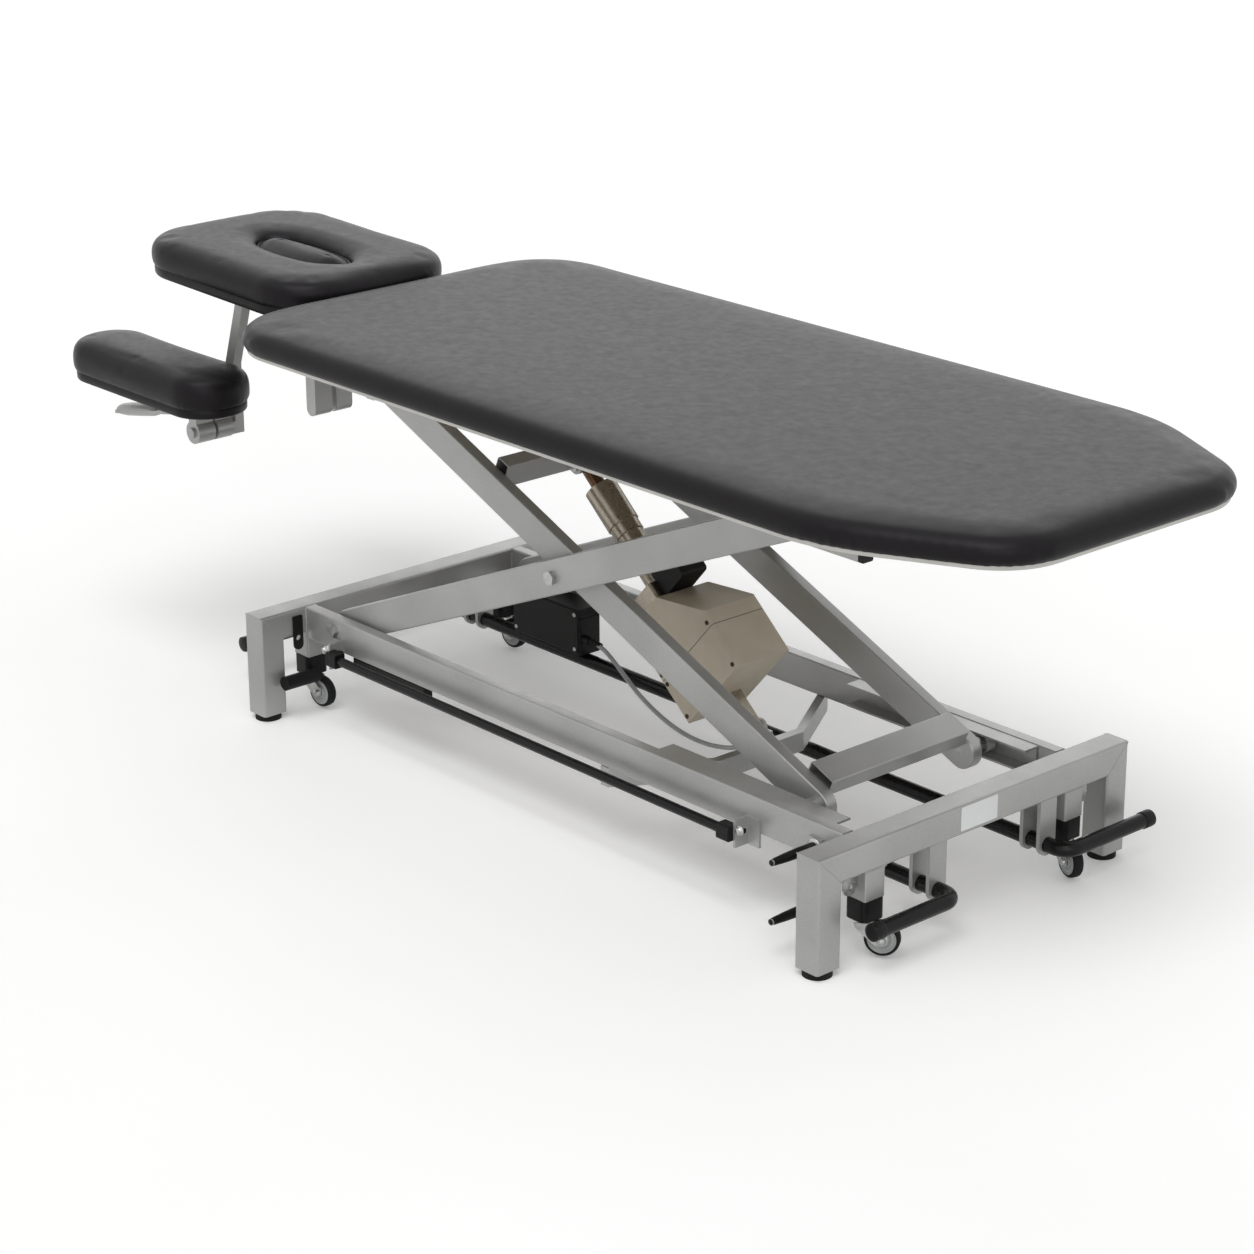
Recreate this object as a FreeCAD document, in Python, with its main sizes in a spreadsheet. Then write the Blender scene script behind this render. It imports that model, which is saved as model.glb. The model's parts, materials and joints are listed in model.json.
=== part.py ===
import FreeCAD, Part
import math
import os
import Sketcher
from FreeCAD import Placement, Rotation, Vector

# A height-adjustable chiropractic table: two square-tube portals and two rails carry a scissor lift,
# the lift carries a padded deck, and the deck carries a tilting headrest with two armrests.
# +X runs from the head end to the foot end, +Z is up, and the origin is on the floor at the middle.

doc = FreeCAD.newDocument("chiropractic_table")
sheet = doc.addObject("Spreadsheet::Sheet", "sizes")

dimensions = [
    # base frame
    ("foot_high", 10), ("foot_wide", 40), ("foot_plug_high", 15), ("fit_play", 0.2),
    ("base_length", 1234), ("base_width", 595), ("beam_top", 170), ("tube_side", 42),
    ("tube_wall", 2.5), ("tube_round", 4), ("rail_high", 50), ("rail_thick", 20),
    ("rail_wall", 2), ("rail_round", 2.5), ("rail_pitch", 408),
    # scissor lift
    ("pivot_inset", 113), ("pivot_drop", 18), ("lift_span", 963), ("deck_top", 590),
    ("arm_high", 50), ("arm_thick", 20), ("arm_wall", 2), ("arm_round", 2.5),
    ("outer_arm_pitch", 358), ("inner_arm_pitch", 280), ("boss_radius", 13), ("drain_radius", 3),
    ("bolt_radius", 6), ("bolt_head_across", 19), ("bolt_head_high", 7.5), ("nut_high", 9),
    ("turn_play", 0.05), ("side_play", 0.3), ("washer_radius", 13), ("spacer_radius", 15),
    ("cross_tube_radius", 15), ("cross_tube_wall", 2), ("cross_tube_setback", 200),
    ("roller_radius", 13.7), ("roller_wide", 16), ("roller_play", 2),
    ("channel_wall", 3), ("channel_deep", 26), ("lower_channel_start", 709),
    ("lower_channel_long", 339), ("upper_channel_start", 684), ("upper_channel_long", 380),
    ("low_bar_long", 45), ("low_bar_high", 25), ("low_bar_rise", 12.5), ("low_bar_setback", 1.5),
    ("top_bar_place", 318), ("top_bar_long", 25), ("top_bar_high", 40), ("bar_wall", 2),
    # lifting actuator
    ("rear_pin_from_mid", 184), ("rear_pin_height", 138), ("rod_pin_along", 352.3),
    ("rod_pin_above", 29.2), ("pin_radius", 5), ("ear_thick", 6), ("ear_gap", 26),
    ("ear_round", 13), ("eye_wide", 24), ("eye_round", 12.5), ("pin_head_radius", 8),
    ("pin_head_high", 4), ("motor_wide", 100), ("motor_near", 58), ("motor_seam", 128),
    ("motor_step", 151), ("motor_far", 221), ("motor_low", 54), ("motor_tall", 103),
    ("motor_nose", 33), ("motor_round", 6), ("motor_wall", 3), ("motor_gap", 1),
    ("gearbox_long", 38), ("gearbox_wide", 64), ("gearbox_low", 32), ("gearbox_tall", 96),
    ("drum_radius", 30), ("drum_long", 50), ("drum_rise", 62), ("screw_radius", 6),
    ("screw_far", 375), ("rod_start", 180), ("rod_end_wall", 5), ("rod_wall", 3.5),
    ("screw_nut_long", 25),
    ("mast_radius", 20), ("mast_far", 344), ("rod_radius", 11), ("sleeve_radius", 24.5),
    ("sleeve_neck_radius", 22.5), ("sleeve_near", 340), ("sleeve_neck_far", 358),
    ("sleeve_far", 424), ("sleeve_cap", 7),
    ("fitting_long", 44), ("fitting_wide", 48), ("fitting_high", 56), ("collar_long", 28),
    ("collar_wide", 72), ("collar_low", 36),
    # actuator cross-member
    ("member_mid_run", 200), ("member_end_run", 114), ("member_flat", 160),
    ("member_thick", 15), ("member_high", 29), ("bracket_plate", 4), ("bracket_long", 50),
    # deck
    ("deck_head_inset", 23), ("deck_rail_foot", 592), ("cap_thick", 7),
    ("deck_tube_high", 40), ("deck_tube_long", 20), ("deck_tube_drop", 5),
    ("deck_pivot_rise", 18), ("board_thick", 12), ("board_inset", 14),
    ("pad_head_reach", 125), ("pad_foot_reach", 861), ("pad_width", 656), ("pad_thick", 46),
    ("pad_head_round", 120), ("pad_shoulder_round", 300), ("pad_toe_round", 110),
    ("pad_taper", 231), ("pad_toe_width", 423), ("pad_roll", 15), ("soft_gap", 0.3),
    ("lug_thick", 8), ("lug_play", 0.5),
    ("hinge_inset", 1), ("hinge_height", 572), ("hinge_pin_radius", 5), ("knuckle_round", 10),
    ("end_block_place", 540), ("end_block_long", 22), ("end_block_outer", 31),
    ("end_block_inner", 29), ("end_block_gap", 8), ("end_block_high", 45),
    # headrest
    ("head_tilt", 1.4), ("head_pad_start", 14), ("head_pad_long", 431), ("head_pad_width", 322),
    ("head_pad_thick", 50), ("head_pad_lift", 25), ("head_pad_round", 81), ("head_pad_roll", 13),
    ("head_board_thick", 10), ("head_board_inset", 12), ("head_bar_high", 15),
    ("head_bar_wide", 25), ("head_bar_pitch", 231), ("head_bar_long", 400),
    ("face_from_hinge", 214), ("face_long", 216), ("face_wide", 86), ("face_ledge", 11),
    ("plug_gap", 1), ("plug_sink", 7), ("dish_deep", 9), ("dish_reach", 34),
    # armrests
    ("hanger_from_hinge", 222), ("hanger_lean", 34), ("hanger_bend_height", 484),
    ("hanger_foot_height", 372), ("hanger_wide", 20), ("hanger_thick", 16),
    ("arm_pin_height", 386), ("arm_knuckle_round", 18), ("inner_knuckle_wide", 30),
    ("outer_knuckle_wide", 31), ("knuckle_gap", 5), ("knuckle_start", 8), ("knuckle_clear", 4),
    ("armrest_from_hinge", 304), ("armrest_offset", 219), ("armrest_long", 380),
    ("armrest_wide", 130), ("armrest_thick", 58), ("armrest_bottom", 444),
    ("armrest_roll", 14), ("armrest_board", 9), ("armrest_board_inset", 16),
    ("lever_pin_from_hinge", 244), ("lever_pin_height", 412), ("lever_long", 206),
    ("lever_drop", 41), ("lever_wide", 24), ("lever_thick", 5), ("lever_tip_wide", 34),
    # casters and pedals
    ("caster_offset", 192), ("stub_side", 36), ("stub_wall", 3), ("stub_long", 43),
    ("sleeve_side", 38), ("sleeve_round", 9), ("sleeve_bottom", 55), ("plunger_radius", 9),
    ("plunger_long", 30), ("stem_radius", 6), ("stem_long", 18), ("fork_disc_radius", 16),
    ("fork_disc_high", 2.7), ("fork_plate", 2.5), ("wheel_radius", 24), ("wheel_wide", 16),
    ("wheel_floor_gap", 3), ("wheel_trail", 24), ("wheel_side_gap", 1), ("wheel_axle_radius", 4),
    ("hub_radius", 19.5), ("tyre_round", 3), ("fork_leg_wide", 15),
    ("near_caster_turn", 35), ("far_caster_turn", -18), ("head_caster_turn", 6),
    ("pedal_radius", 11), ("pedal_height", 62), ("pedal_bend", 22), ("pedal_cap_long", 12),
    ("pedal_cap_extra", 1), ("near_pedal_offset", 75), ("near_pedal_start", 528),
    ("near_pedal_reach", 232), ("pedal_out", 648), ("far_pedal_offset", 140),
    ("far_pedal_reach", 312), ("head_pedal_out", 745), ("head_pedal_reach", 215),
    ("hanger_leaf", 6), ("hanger_leaf_wide", 32), ("hanger_leaf_pitch", 30),
    ("side_tube_place", 562), ("side_tube_reach", 268), ("side_tube_start", 205),
    # foot bar, control box and small pieces
    ("bar_radius", 7), ("bar_offset", 240), ("bar_height", 121), ("bar_head", 480),
    ("bar_foot", 400), ("bar_tab_thick", 4), ("bar_tab_high", 40), ("bar_tab_wide", 26),
    ("switch_long", 170), ("switch_wide", 16), ("switch_high", 24), ("switch_start", 460),
    ("box_start", 484), ("box_long", 160), ("box_wide", 44), ("box_high", 76),
    ("box_bottom", 74), ("box_inner_edge", 120), ("box_round", 5), ("box_strap_wide", 40),
    ("box_strap_thick", 4), ("box_lid_high", 16), ("box_lid_gap", 1),
    ("peg_place", 530), ("peg_radius", 4.5), ("peg_long", 78), ("peg_low", 56), ("peg_high", 139),
    ("peg_plate_thick", 4), ("peg_plate_wide", 24),
    ("cable_radius", 3.5), ("gland_radius", 7), ("gland_long", 14), ("cable_inset", 10),
    ("cable_out_height", 100), ("cable_in_offset", 40), ("cable_in_height", 105),
]
for row, (alias, number) in enumerate(dimensions, 1):
    sheet.set("A%d" % row, alias)
    sheet.set("B%d" % row, str(number))
    sheet.setAlias("B%d" % row, alias)
doc.recompute()

# Pad edges: (share of the thickness, share of the roll that the outline draws in there)
pad_section_shares = [(0.0, 0.6), (0.05, 0.3), (0.13, 0.1), (0.27, 0.0), (0.5, 0.0), (0.64, 0.08),
                      (0.75, 0.25), (0.84, 0.52), (0.905, 0.9), (0.95, 1.4), (0.98, 2.1),
                      (1.0, 3.4)]
# The recess round the face opening: (share of its reach, share of its depth climbed)
dish_shares = [(0.0, 0.0), (0.45, 0.35), (0.8, 0.75), (1.0, 1.1)]
# Corner radii as shares of the full or half width
face_round_share = 0.48
stadium_share = 0.96
plug_roll_share = 0.5
# Reach of each bend of the motor lead as a share of the shorter run beside it
bend_share = 0.45
# The motor lead's route between its two glands: along the table from the base middle, across, up
cable_route = [(-286, 130, 100), (-246, 122, 88), (-204, 113, 70), (-158, 104, 54), (-108, 95, 43),
               (-56, 86, 38), (-4, 76, 41), (46, 66, 51), (92, 56, 66), (130, 46, 88),
               (156, 40, 105)]


# Sizes that remember the expression they come from

class Size(float):
    def __new__(cls, number, text):
        made = float.__new__(cls, number)
        made.text = text
        return made

    def __add__(self, other):
        return worked(float(self) + float(other), self, "+", other)

    def __radd__(self, other):
        return worked(float(other) + float(self), other, "+", self)

    def __sub__(self, other):
        return worked(float(self) - float(other), self, "-", other)

    def __rsub__(self, other):
        return worked(float(other) - float(self), other, "-", self)

    def __mul__(self, other):
        return worked(float(self) * float(other), self, "*", other)

    def __rmul__(self, other):
        return worked(float(other) * float(self), other, "*", self)

    def __truediv__(self, other):
        return worked(float(self) / float(other), self, "/", other)

    def __neg__(self):
        return worked(-float(self), -1, "*", self)


def wording(number):
    return number.text if isinstance(number, Size) else repr(float(number))


def worked(number, left, sign, right):
    return Size(number, "(" + wording(left) + " " + sign + " " + wording(right) + ")")


class Sizes:
    pass


s = Sizes()
for alias, number in dimensions:
    setattr(s, alias, Size(getattr(sheet, alias), "sizes." + alias))

layout = doc.addObject("App::FeaturePython", "layout")


def keep(name, size):
    layout.addProperty("App::PropertyFloat", name, "Layout")
    layout.setExpression(name, size.text)
    setattr(layout, name, float(size))
    return Size(size, "layout." + name)


def slant_of(rise, run):
    degrees = math.degrees(math.atan2(rise, run))
    return Size(degrees, "(atan2(" + wording(rise) + "; " + wording(run) + ") / 1 deg)")


def long_side(rise, run):
    return Size(math.hypot(rise, run), "hypot(" + wording(rise) + "; " + wording(run) + ")")


def cosine(angle):
    return Size(math.cos(math.radians(angle)), "cos(" + wording(angle) + " * 1 deg)")


def sine(angle):
    return Size(math.sin(math.radians(angle)), "sin(" + wording(angle) + " * 1 deg)")


# Pieces bound to those sizes

turns = {"x": Rotation(Vector(0, 1, 0), 90), "y": Rotation(Vector(1, 0, 0), -90),
         "z": Rotation()}
directions = {"x": Vector(1, 0, 0), "y": Vector(0, 1, 0), "z": Vector(0, 0, 1)}


def bind(item, prop, size):
    if isinstance(size, Size):
        item.setExpression(prop, size.text)
    elif prop.startswith("Placement"):
        item.setExpression(prop, repr(float(size)))
    else:
        setattr(item, prop, size)


def put(item, place, rotation=Rotation()):
    item.Placement = Placement(Vector(*[float(number) for number in place]), rotation)
    for letter, number in zip("xyz", place):
        bind(item, "Placement.Base." + letter, number)
    return item


def swing(item, place, angle, axis="y"):
    put(item, place, Rotation(directions[axis], float(angle)))
    bind(item, "Placement.Rotation.Angle", angle)
    return item


def block(corner, extent):
    item = doc.addObject("Part::Box", "block")
    for prop, size in zip(("Length", "Width", "Height"), extent):
        bind(item, prop, size)
    return put(item, corner)


def rod(base, axis, radius, length):
    item = doc.addObject("Part::Cylinder", "rod")
    bind(item, "Radius", radius)
    bind(item, "Height", length)
    return put(item, base, turns[axis])


def hexagon(base, axis, across, length):
    item = doc.addObject("Part::Prism", "hexagon")
    item.Polygon = 6
    bind(item, "Circumradius", across / (2 * math.cos(math.pi / 6)))
    bind(item, "Height", length)
    return put(item, base, turns[axis])


def bend(centre, pipe_radius, bend_radius, start_angle):
    item = doc.addObject("Part::Torus", "bend")
    bind(item, "Radius1", bend_radius)
    bind(item, "Radius2", pipe_radius)
    item.Angle1 = -180
    item.Angle2 = 180
    item.Angle3 = 90
    return put(item, centre, Rotation(Vector(0, 0, 1), start_angle))


def fused(*pieces):
    item = doc.addObject("Part::MultiFuse", "fused")
    item.Shapes = list(pieces)
    item.Refine = True
    return item


def cut(base, *tools):
    item = doc.addObject("Part::Cut", "cut")
    item.Base = base
    item.Tool = tools[0] if len(tools) == 1 else grouped(*tools)
    return item


def grouped(*pieces):
    item = doc.addObject("Part::Compound", "group")
    item.Links = list(pieces)
    return item


def mirrored(piece):
    item = doc.addObject("Part::Mirroring", "mirrored")
    item.Source = piece
    item.Normal = Vector(0, 1, 0)
    return item


def pair(piece):
    return grouped(piece, mirrored(piece))


def runs_along(axis):
    direction = directions[axis]

    def wanted(edge):
        if not isinstance(edge.Curve, (Part.Line, Part.LineSegment)):
            return False
        ends = [vertex.Point for vertex in edge.Vertexes]
        return abs((ends[1] - ends[0]).normalize().dot(direction)) > 0.999
    return wanted


def rounded(item, radius, wanted):
    doc.recompute()
    numbers = [place for place, edge in enumerate(item.Shape.Edges, 1) if wanted(edge)]
    soft = doc.addObject("Part::Fillet", "rounded")
    soft.Base = item
    soft.Edges = [(number, float(radius), float(radius)) for number in numbers]
    return soft


def outline(plane, corners, thick, side="Symmetric", rounds=()):
    body = doc.addObject("PartDesign::Body", "outline")
    sketch = body.newObject("Sketcher::SketchObject", "sketch")
    face = [item for item in body.Origin.OriginFeatures if item.Role == plane][0]
    sketch.AttachmentSupport = (face, [""])
    sketch.MapMode = "FlatFace"
    count = len(corners)
    for place in range(count):
        here = [float(number) for number in corners[place]]
        there = [float(number) for number in corners[(place + 1) % count]]
        sketch.addGeometry(Part.LineSegment(Vector(*here, 0), Vector(*there, 0)))
    for place in range(count):
        sketch.addConstraint(Sketcher.Constraint("Coincident", place, 2, (place + 1) % count, 1))
    for place, corner in enumerate(corners):
        for kind, number in zip(("DistanceX", "DistanceY"), corner):
            index = sketch.addConstraint(
                Sketcher.Constraint(kind, -1, 1, place, 1, float(number)))
            if isinstance(number, Size):
                sketch.setExpression("Constraints[%d]" % index, number.text)
    pad = body.newObject("PartDesign::Pad", "pad")
    pad.Profile = sketch
    pad.SideType = side
    bind(pad, "Length", thick)
    for radius, wanted in rounds:
        doc.recompute()
        last = body.Tip
        names = ["Edge%d" % place for place, edge in enumerate(last.Shape.Edges, 1)
                 if wanted(edge)]
        soft = body.newObject("PartDesign::Fillet", "soft")
        soft.Base = (last, names)
        bind(soft, "Radius", radius)
    return body


nodes = []


def node(item, name):
    item.Label = name
    nodes.append(item)
    return item


# Where the main points lie

pad_head = s.base_length / 2 - s.pivot_inset + s.pad_head_reach
hinge_reach = keep("hinge_reach", pad_head - s.hinge_inset)
armrest_place = keep("armrest_place", hinge_reach + s.armrest_from_hinge)
mid = keep("mid", (armrest_place + s.armrest_long / 2 - s.pad_foot_reach) / 2)
head_face = keep("head_face", mid - s.base_length / 2)
foot_face = keep("foot_face", mid + s.base_length / 2)
half_width = keep("half_width", s.base_width / 2)
beam_bottom = keep("beam_bottom", s.beam_top - s.tube_side)
rail_bottom = keep("rail_bottom", s.beam_top - s.rail_high)
rail_inner = keep("rail_inner", s.rail_pitch / 2 - s.rail_thick / 2)
rail_outer = keep("rail_outer", s.rail_pitch / 2 + s.rail_thick / 2)
pivot_x = keep("pivot_x", head_face + s.pivot_inset)
base_pivot_z = keep("base_pivot_z", s.beam_top - s.pivot_drop)
deck_rail_bottom = keep("deck_rail_bottom", s.deck_top - s.rail_high)
deck_pivot_z = keep("deck_pivot_z", deck_rail_bottom + s.deck_pivot_rise)
lift_rise = keep("lift_rise", deck_pivot_z - base_pivot_z)
arm_long = keep("arm_long", long_side(lift_rise, s.lift_span))
arm_slant = keep("arm_slant", slant_of(lift_rise, s.lift_span))
outer_arm_in = keep("outer_arm_in", s.outer_arm_pitch / 2 - s.arm_thick / 2)
outer_arm_out = keep("outer_arm_out", s.outer_arm_pitch / 2 + s.arm_thick / 2)
inner_arm_in = keep("inner_arm_in", s.inner_arm_pitch / 2 - s.arm_thick / 2)
inner_arm_out = keep("inner_arm_out", s.inner_arm_pitch / 2 + s.arm_thick / 2)


# Base frame

def portal(start):
    full = block((start, -half_width, s.foot_high),
                 (s.tube_side, s.base_width, s.beam_top - s.foot_high))
    gap = block((start, -half_width + s.tube_side, s.foot_high),
                (s.tube_side, s.base_width - 2 * s.tube_side, beam_bottom - s.foot_high))
    shell = rounded(cut(full, gap), s.tube_round,
                    lambda edge: runs_along("y")(edge) and edge.Length > s.tube_side
                    or runs_along("z")(edge))
    wide = s.base_width - 2 * s.tube_wall
    hollow = cut(
        block((start + s.tube_wall, -half_width + s.tube_wall, s.foot_high),
              (s.tube_side - 2 * s.tube_wall, wide, s.beam_top - s.tube_wall - s.foot_high)),
        block((start, -half_width + s.tube_side - s.tube_wall, s.foot_high),
              (s.tube_side, s.base_width - 2 * (s.tube_side - s.tube_wall),
               beam_bottom + s.tube_wall - s.foot_high)))
    return cut(shell, hollow)


def leg_pad(face_x, side):
    middle = half_width - s.tube_side / 2
    plug_side = s.tube_side - 2 * s.tube_wall - 2 * s.fit_play
    tread = rod((face_x, side * middle, 0), "z", s.foot_wide / 2, s.foot_high)
    plug = block((face_x - plug_side / 2, side * middle - plug_side / 2, s.foot_high),
                 (plug_side, plug_side, s.foot_plug_high))
    return fused(tread, plug)


def rail_tube(start, length, bottom):
    full = rounded(block((start, rail_inner, bottom), (length, s.rail_thick, s.rail_high)),
                   s.rail_round, runs_along("x"))
    hollow = block((start, rail_inner + s.rail_wall, bottom + s.rail_wall),
                   (length, s.rail_thick - 2 * s.rail_wall, s.rail_high - 2 * s.rail_wall))
    return cut(full, hollow)


def bolt_hole(place_x, place_z):
    return rod((place_x, rail_inner - s.rail_thick, place_z), "y", s.bolt_radius + s.fit_play,
               3 * s.rail_thick)


head_beam_mid = keep("head_beam_mid", head_face + s.tube_side / 2)
foot_beam_mid = keep("foot_beam_mid", foot_face - s.tube_side / 2)
node(portal(head_face), "head_portal")
node(portal(foot_face - s.tube_side), "foot_portal")
node(grouped(*[leg_pad(x, side) for x in (head_beam_mid, foot_beam_mid) for side in (-1, 1)]),
     "leg_pads")

base_rail = cut(rail_tube(head_face + s.tube_side, s.base_length - 2 * s.tube_side, rail_bottom),
                bolt_hole(pivot_x, base_pivot_z))
node(pair(base_rail), "base_rails")


# Roller channels: lower ones on the base rails, upper ones under the deck

channel_gap = keep("channel_gap", 2 * (s.roller_radius + s.side_play))
channel_high = keep("channel_high", channel_gap + 2 * s.channel_wall)
lower_channel_x = pivot_x + s.lower_channel_start
lower_channel = cut(
    block((lower_channel_x, rail_inner - s.channel_deep, base_pivot_z - channel_high / 2),
          (s.lower_channel_long, s.channel_deep, channel_high)),
    block((lower_channel_x, rail_inner - s.channel_deep, base_pivot_z - channel_gap / 2),
          (s.lower_channel_long, s.channel_deep - s.channel_wall, channel_gap)))
node(pair(lower_channel), "lower_channels")

upper_channel_in = keep("upper_channel_in", outer_arm_in - s.side_play - s.channel_deep)
upper_channel_x = pivot_x + s.upper_channel_start
upper_channel = cut(
    block((upper_channel_x, upper_channel_in, deck_pivot_z - channel_high / 2),
          (s.upper_channel_long, s.channel_deep, channel_high)),
    block((upper_channel_x, upper_channel_in + s.channel_wall, deck_pivot_z - channel_gap / 2),
          (s.upper_channel_long, s.channel_deep - s.channel_wall, channel_gap)))


# Scissor arms, drawn level from the pivot and then tilted

def arm(inner_face):
    def obround(shrink):
        radius = s.arm_high / 2 - shrink
        thick = s.arm_thick - 2 * shrink
        start_y = inner_face + shrink
        bar = block((0, start_y, -radius), (arm_long, thick, 2 * radius))
        return [bar, rod((0, start_y, 0), "y", radius, thick),
                rod((arm_long, start_y, 0), "y", radius, thick)]
    skin = rounded(fused(*obround(0)), s.arm_round,
                   lambda edge: runs_along("x")(edge) or isinstance(edge.Curve, Part.Circle))
    hollow = fused(*obround(s.arm_wall))
    places = (0, arm_long / 2, arm_long)
    bosses = [rod((place, inner_face, 0), "y", s.boss_radius, s.arm_thick) for place in places]
    holes = [rod((place, inner_face - s.arm_thick, 0), "y", s.bolt_radius + s.turn_play,
                 3 * s.arm_thick) for place in places]
    drains = [rod((place, inner_face + s.arm_thick / 2, -s.arm_high), "z", s.drain_radius,
                  s.arm_high) for place in (arm_long / 4, arm_long * 3 / 4)]
    return cut(fused(cut(skin, hollow), *bosses), *holes, *drains)


def outer_frame(*pieces):
    return swing(grouped(*pieces), (pivot_x, 0, base_pivot_z), -arm_slant)


def inner_frame(*pieces):
    return swing(grouped(*pieces), (pivot_x, 0, deck_pivot_z), arm_slant)


def ring(start, outside, hole, length, place_x=0):
    return cut(rod((place_x, start, 0), "y", outside, length),
               rod((place_x, start - length, 0), "y", hole, 3 * length))


outer_arm = arm(outer_arm_in)
inner_arm = arm(inner_arm_in)
node(inner_frame(inner_arm, mirrored(inner_arm)), "inner_arms")

cross_place = arm_long - s.cross_tube_setback
cross_tube = cut(rod((cross_place, -outer_arm_in, 0), "y", s.cross_tube_radius, 2 * outer_arm_in),
                 rod((cross_place, -outer_arm_in, 0), "y",
                     s.cross_tube_radius - s.cross_tube_wall, 2 * outer_arm_in))
node(outer_frame(outer_arm, mirrored(outer_arm), cross_tube), "outer_arms")


# Pins, bolts and rollers of the scissor

def bolt(place_x, head_face_y, nut_face_y):
    shank = rod((place_x, nut_face_y - s.nut_high, 0), "y", s.bolt_radius,
                head_face_y - nut_face_y + s.nut_high + s.bolt_head_high / 2)
    head = hexagon((place_x, head_face_y, 0), "y", s.bolt_head_across, s.bolt_head_high)
    nut = hexagon((place_x, nut_face_y - s.nut_high + s.bolt_head_high / 4, 0), "y",
                  s.bolt_head_across, s.nut_high - s.bolt_head_high / 4)
    return fused(shank, head, nut)


half_arm = arm_long / 2
mid_bolt = bolt(half_arm, outer_arm_out, inner_arm_in - s.side_play)
mid_spacer = ring(inner_arm_out + s.side_play, s.spacer_radius, s.bolt_radius + s.fit_play,
                  outer_arm_in - inner_arm_out - s.side_play, half_arm)
upper_roller_in = upper_channel_in + s.channel_wall + s.roller_play
upper_axle_in = upper_roller_in - s.roller_play / 2
upper_axle = rod((arm_long, upper_axle_in, 0), "y", s.bolt_radius, outer_arm_out - upper_axle_in)
node(outer_frame(*[item for piece in (mid_bolt, mid_spacer, upper_axle)
                   for item in (piece, mirrored(piece))]), "outer_arm_pins")

roller_hole = s.bolt_radius + s.turn_play
upper_roller = ring(upper_roller_in, s.roller_radius, roller_hole, s.roller_wide, arm_long)
node(outer_frame(upper_roller, mirrored(upper_roller)), "upper_rollers")

lower_roller_out = rail_inner - s.channel_wall - s.roller_play
lower_axle_out = lower_roller_out + s.roller_play / 2
lower_axle = rod((arm_long, inner_arm_in, 0), "y", s.bolt_radius, lower_axle_out - inner_arm_in)
lower_collar = ring(inner_arm_out, s.washer_radius, s.bolt_radius + s.fit_play,
                    lower_roller_out - s.roller_wide - s.side_play - inner_arm_out, arm_long)
lower_roller = ring(lower_roller_out - s.roller_wide, s.roller_radius, roller_hole,
                    s.roller_wide, arm_long)
node(inner_frame(lower_roller, mirrored(lower_roller)), "lower_rollers")


def fixed_pivot(place_z, nut_face):
    fastener = bolt(0, rail_outer, nut_face - s.side_play)
    spacer = ring(nut_face + s.arm_thick + s.side_play, s.washer_radius,
                  s.bolt_radius + s.fit_play,
                  rail_inner - nut_face - s.arm_thick - s.side_play)
    return put(grouped(fastener, mirrored(fastener), spacer, mirrored(spacer)),
               (pivot_x, 0, place_z))


node(fixed_pivot(base_pivot_z, outer_arm_in), "base_pivot_bolts")
deck_bolts = fixed_pivot(deck_pivot_z, inner_arm_in)


# Cross bars of the inner arms, with the ears that take the actuator rod

def bar_tube(start_x, start_z, length, height):
    wide = 2 * inner_arm_in
    return cut(rounded(block((start_x, -inner_arm_in, start_z), (length, wide, height)),
                       s.rail_round, runs_along("y")),
               block((start_x + s.bar_wall, -inner_arm_in, start_z + s.bar_wall),
                     (length - 2 * s.bar_wall, wide, height - 2 * s.bar_wall)))


low_bar = bar_tube(arm_long + s.low_bar_setback - s.low_bar_long, s.low_bar_rise, s.low_bar_long,
                   s.low_bar_high)
top_bar_end = s.top_bar_place + s.top_bar_long / 2
top_bar = bar_tube(top_bar_end - s.top_bar_long, 0, s.top_bar_long, s.top_bar_high)


def rod_ear(side):
    inner_y = s.ear_gap / 2 if side > 0 else -s.ear_gap / 2 - s.ear_thick
    plate = fused(
        block((top_bar_end, inner_y, s.rod_pin_above - s.ear_round),
              (s.rod_pin_along - top_bar_end, s.ear_thick, 2 * s.ear_round)),
        rod((s.rod_pin_along, inner_y, s.rod_pin_above), "y", s.ear_round, s.ear_thick))
    hole = rod((s.rod_pin_along, inner_y - s.ear_thick, s.rod_pin_above), "y",
               s.pin_radius + s.fit_play, 3 * s.ear_thick)
    return cut(plate, hole)


node(inner_frame(low_bar, top_bar, rod_ear(-1), rod_ear(1)), "inner_crossbars")


# Actuator cross-member and its rear bracket

def crossmember():
    half = s.member_thick / 2
    end_y = rail_inner + s.rail_thick
    flat_y = s.member_flat / 2
    outer_side = [(s.member_end_run + half, -end_y), (s.member_mid_run + half, -flat_y),
                  (s.member_mid_run + half, flat_y), (s.member_end_run + half, end_y)]
    inner_side = [(s.member_end_run - half, end_y), (s.member_mid_run - half, flat_y),
                  (s.member_mid_run - half, -flat_y), (s.member_end_run - half, -end_y)]
    bar = outline("XY_Plane", outer_side + inner_side, s.member_high, "One side")
    return put(bar, (mid, 0, rail_bottom - s.member_high))


node(crossmember(), "actuator_crossmember")

rear_pin_x = keep("rear_pin_x", mid + s.rear_pin_from_mid)
ear_span = s.ear_gap + 2 * s.ear_thick


def rear_bracket():
    start_x = mid + s.member_mid_run + s.member_thick / 2 - s.bracket_long
    plate = block((start_x, -ear_span / 2, rail_bottom), (s.bracket_long, ear_span, s.bracket_plate))
    ears = []
    for inner_y in (-ear_span / 2, s.ear_gap / 2):
        web = block((start_x, inner_y, rail_bottom + s.bracket_plate),
                    (s.bracket_long, s.ear_thick,
                     s.rear_pin_height - rail_bottom - s.bracket_plate))
        top = rod((rear_pin_x, inner_y, s.rear_pin_height), "y", s.ear_round, s.ear_thick)
        ears += [web, top]
    hole = rod((rear_pin_x, -ear_span, s.rear_pin_height), "y", s.pin_radius + s.fit_play,
               2 * ear_span)
    return cut(fused(plate, *ears), hole)


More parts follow.
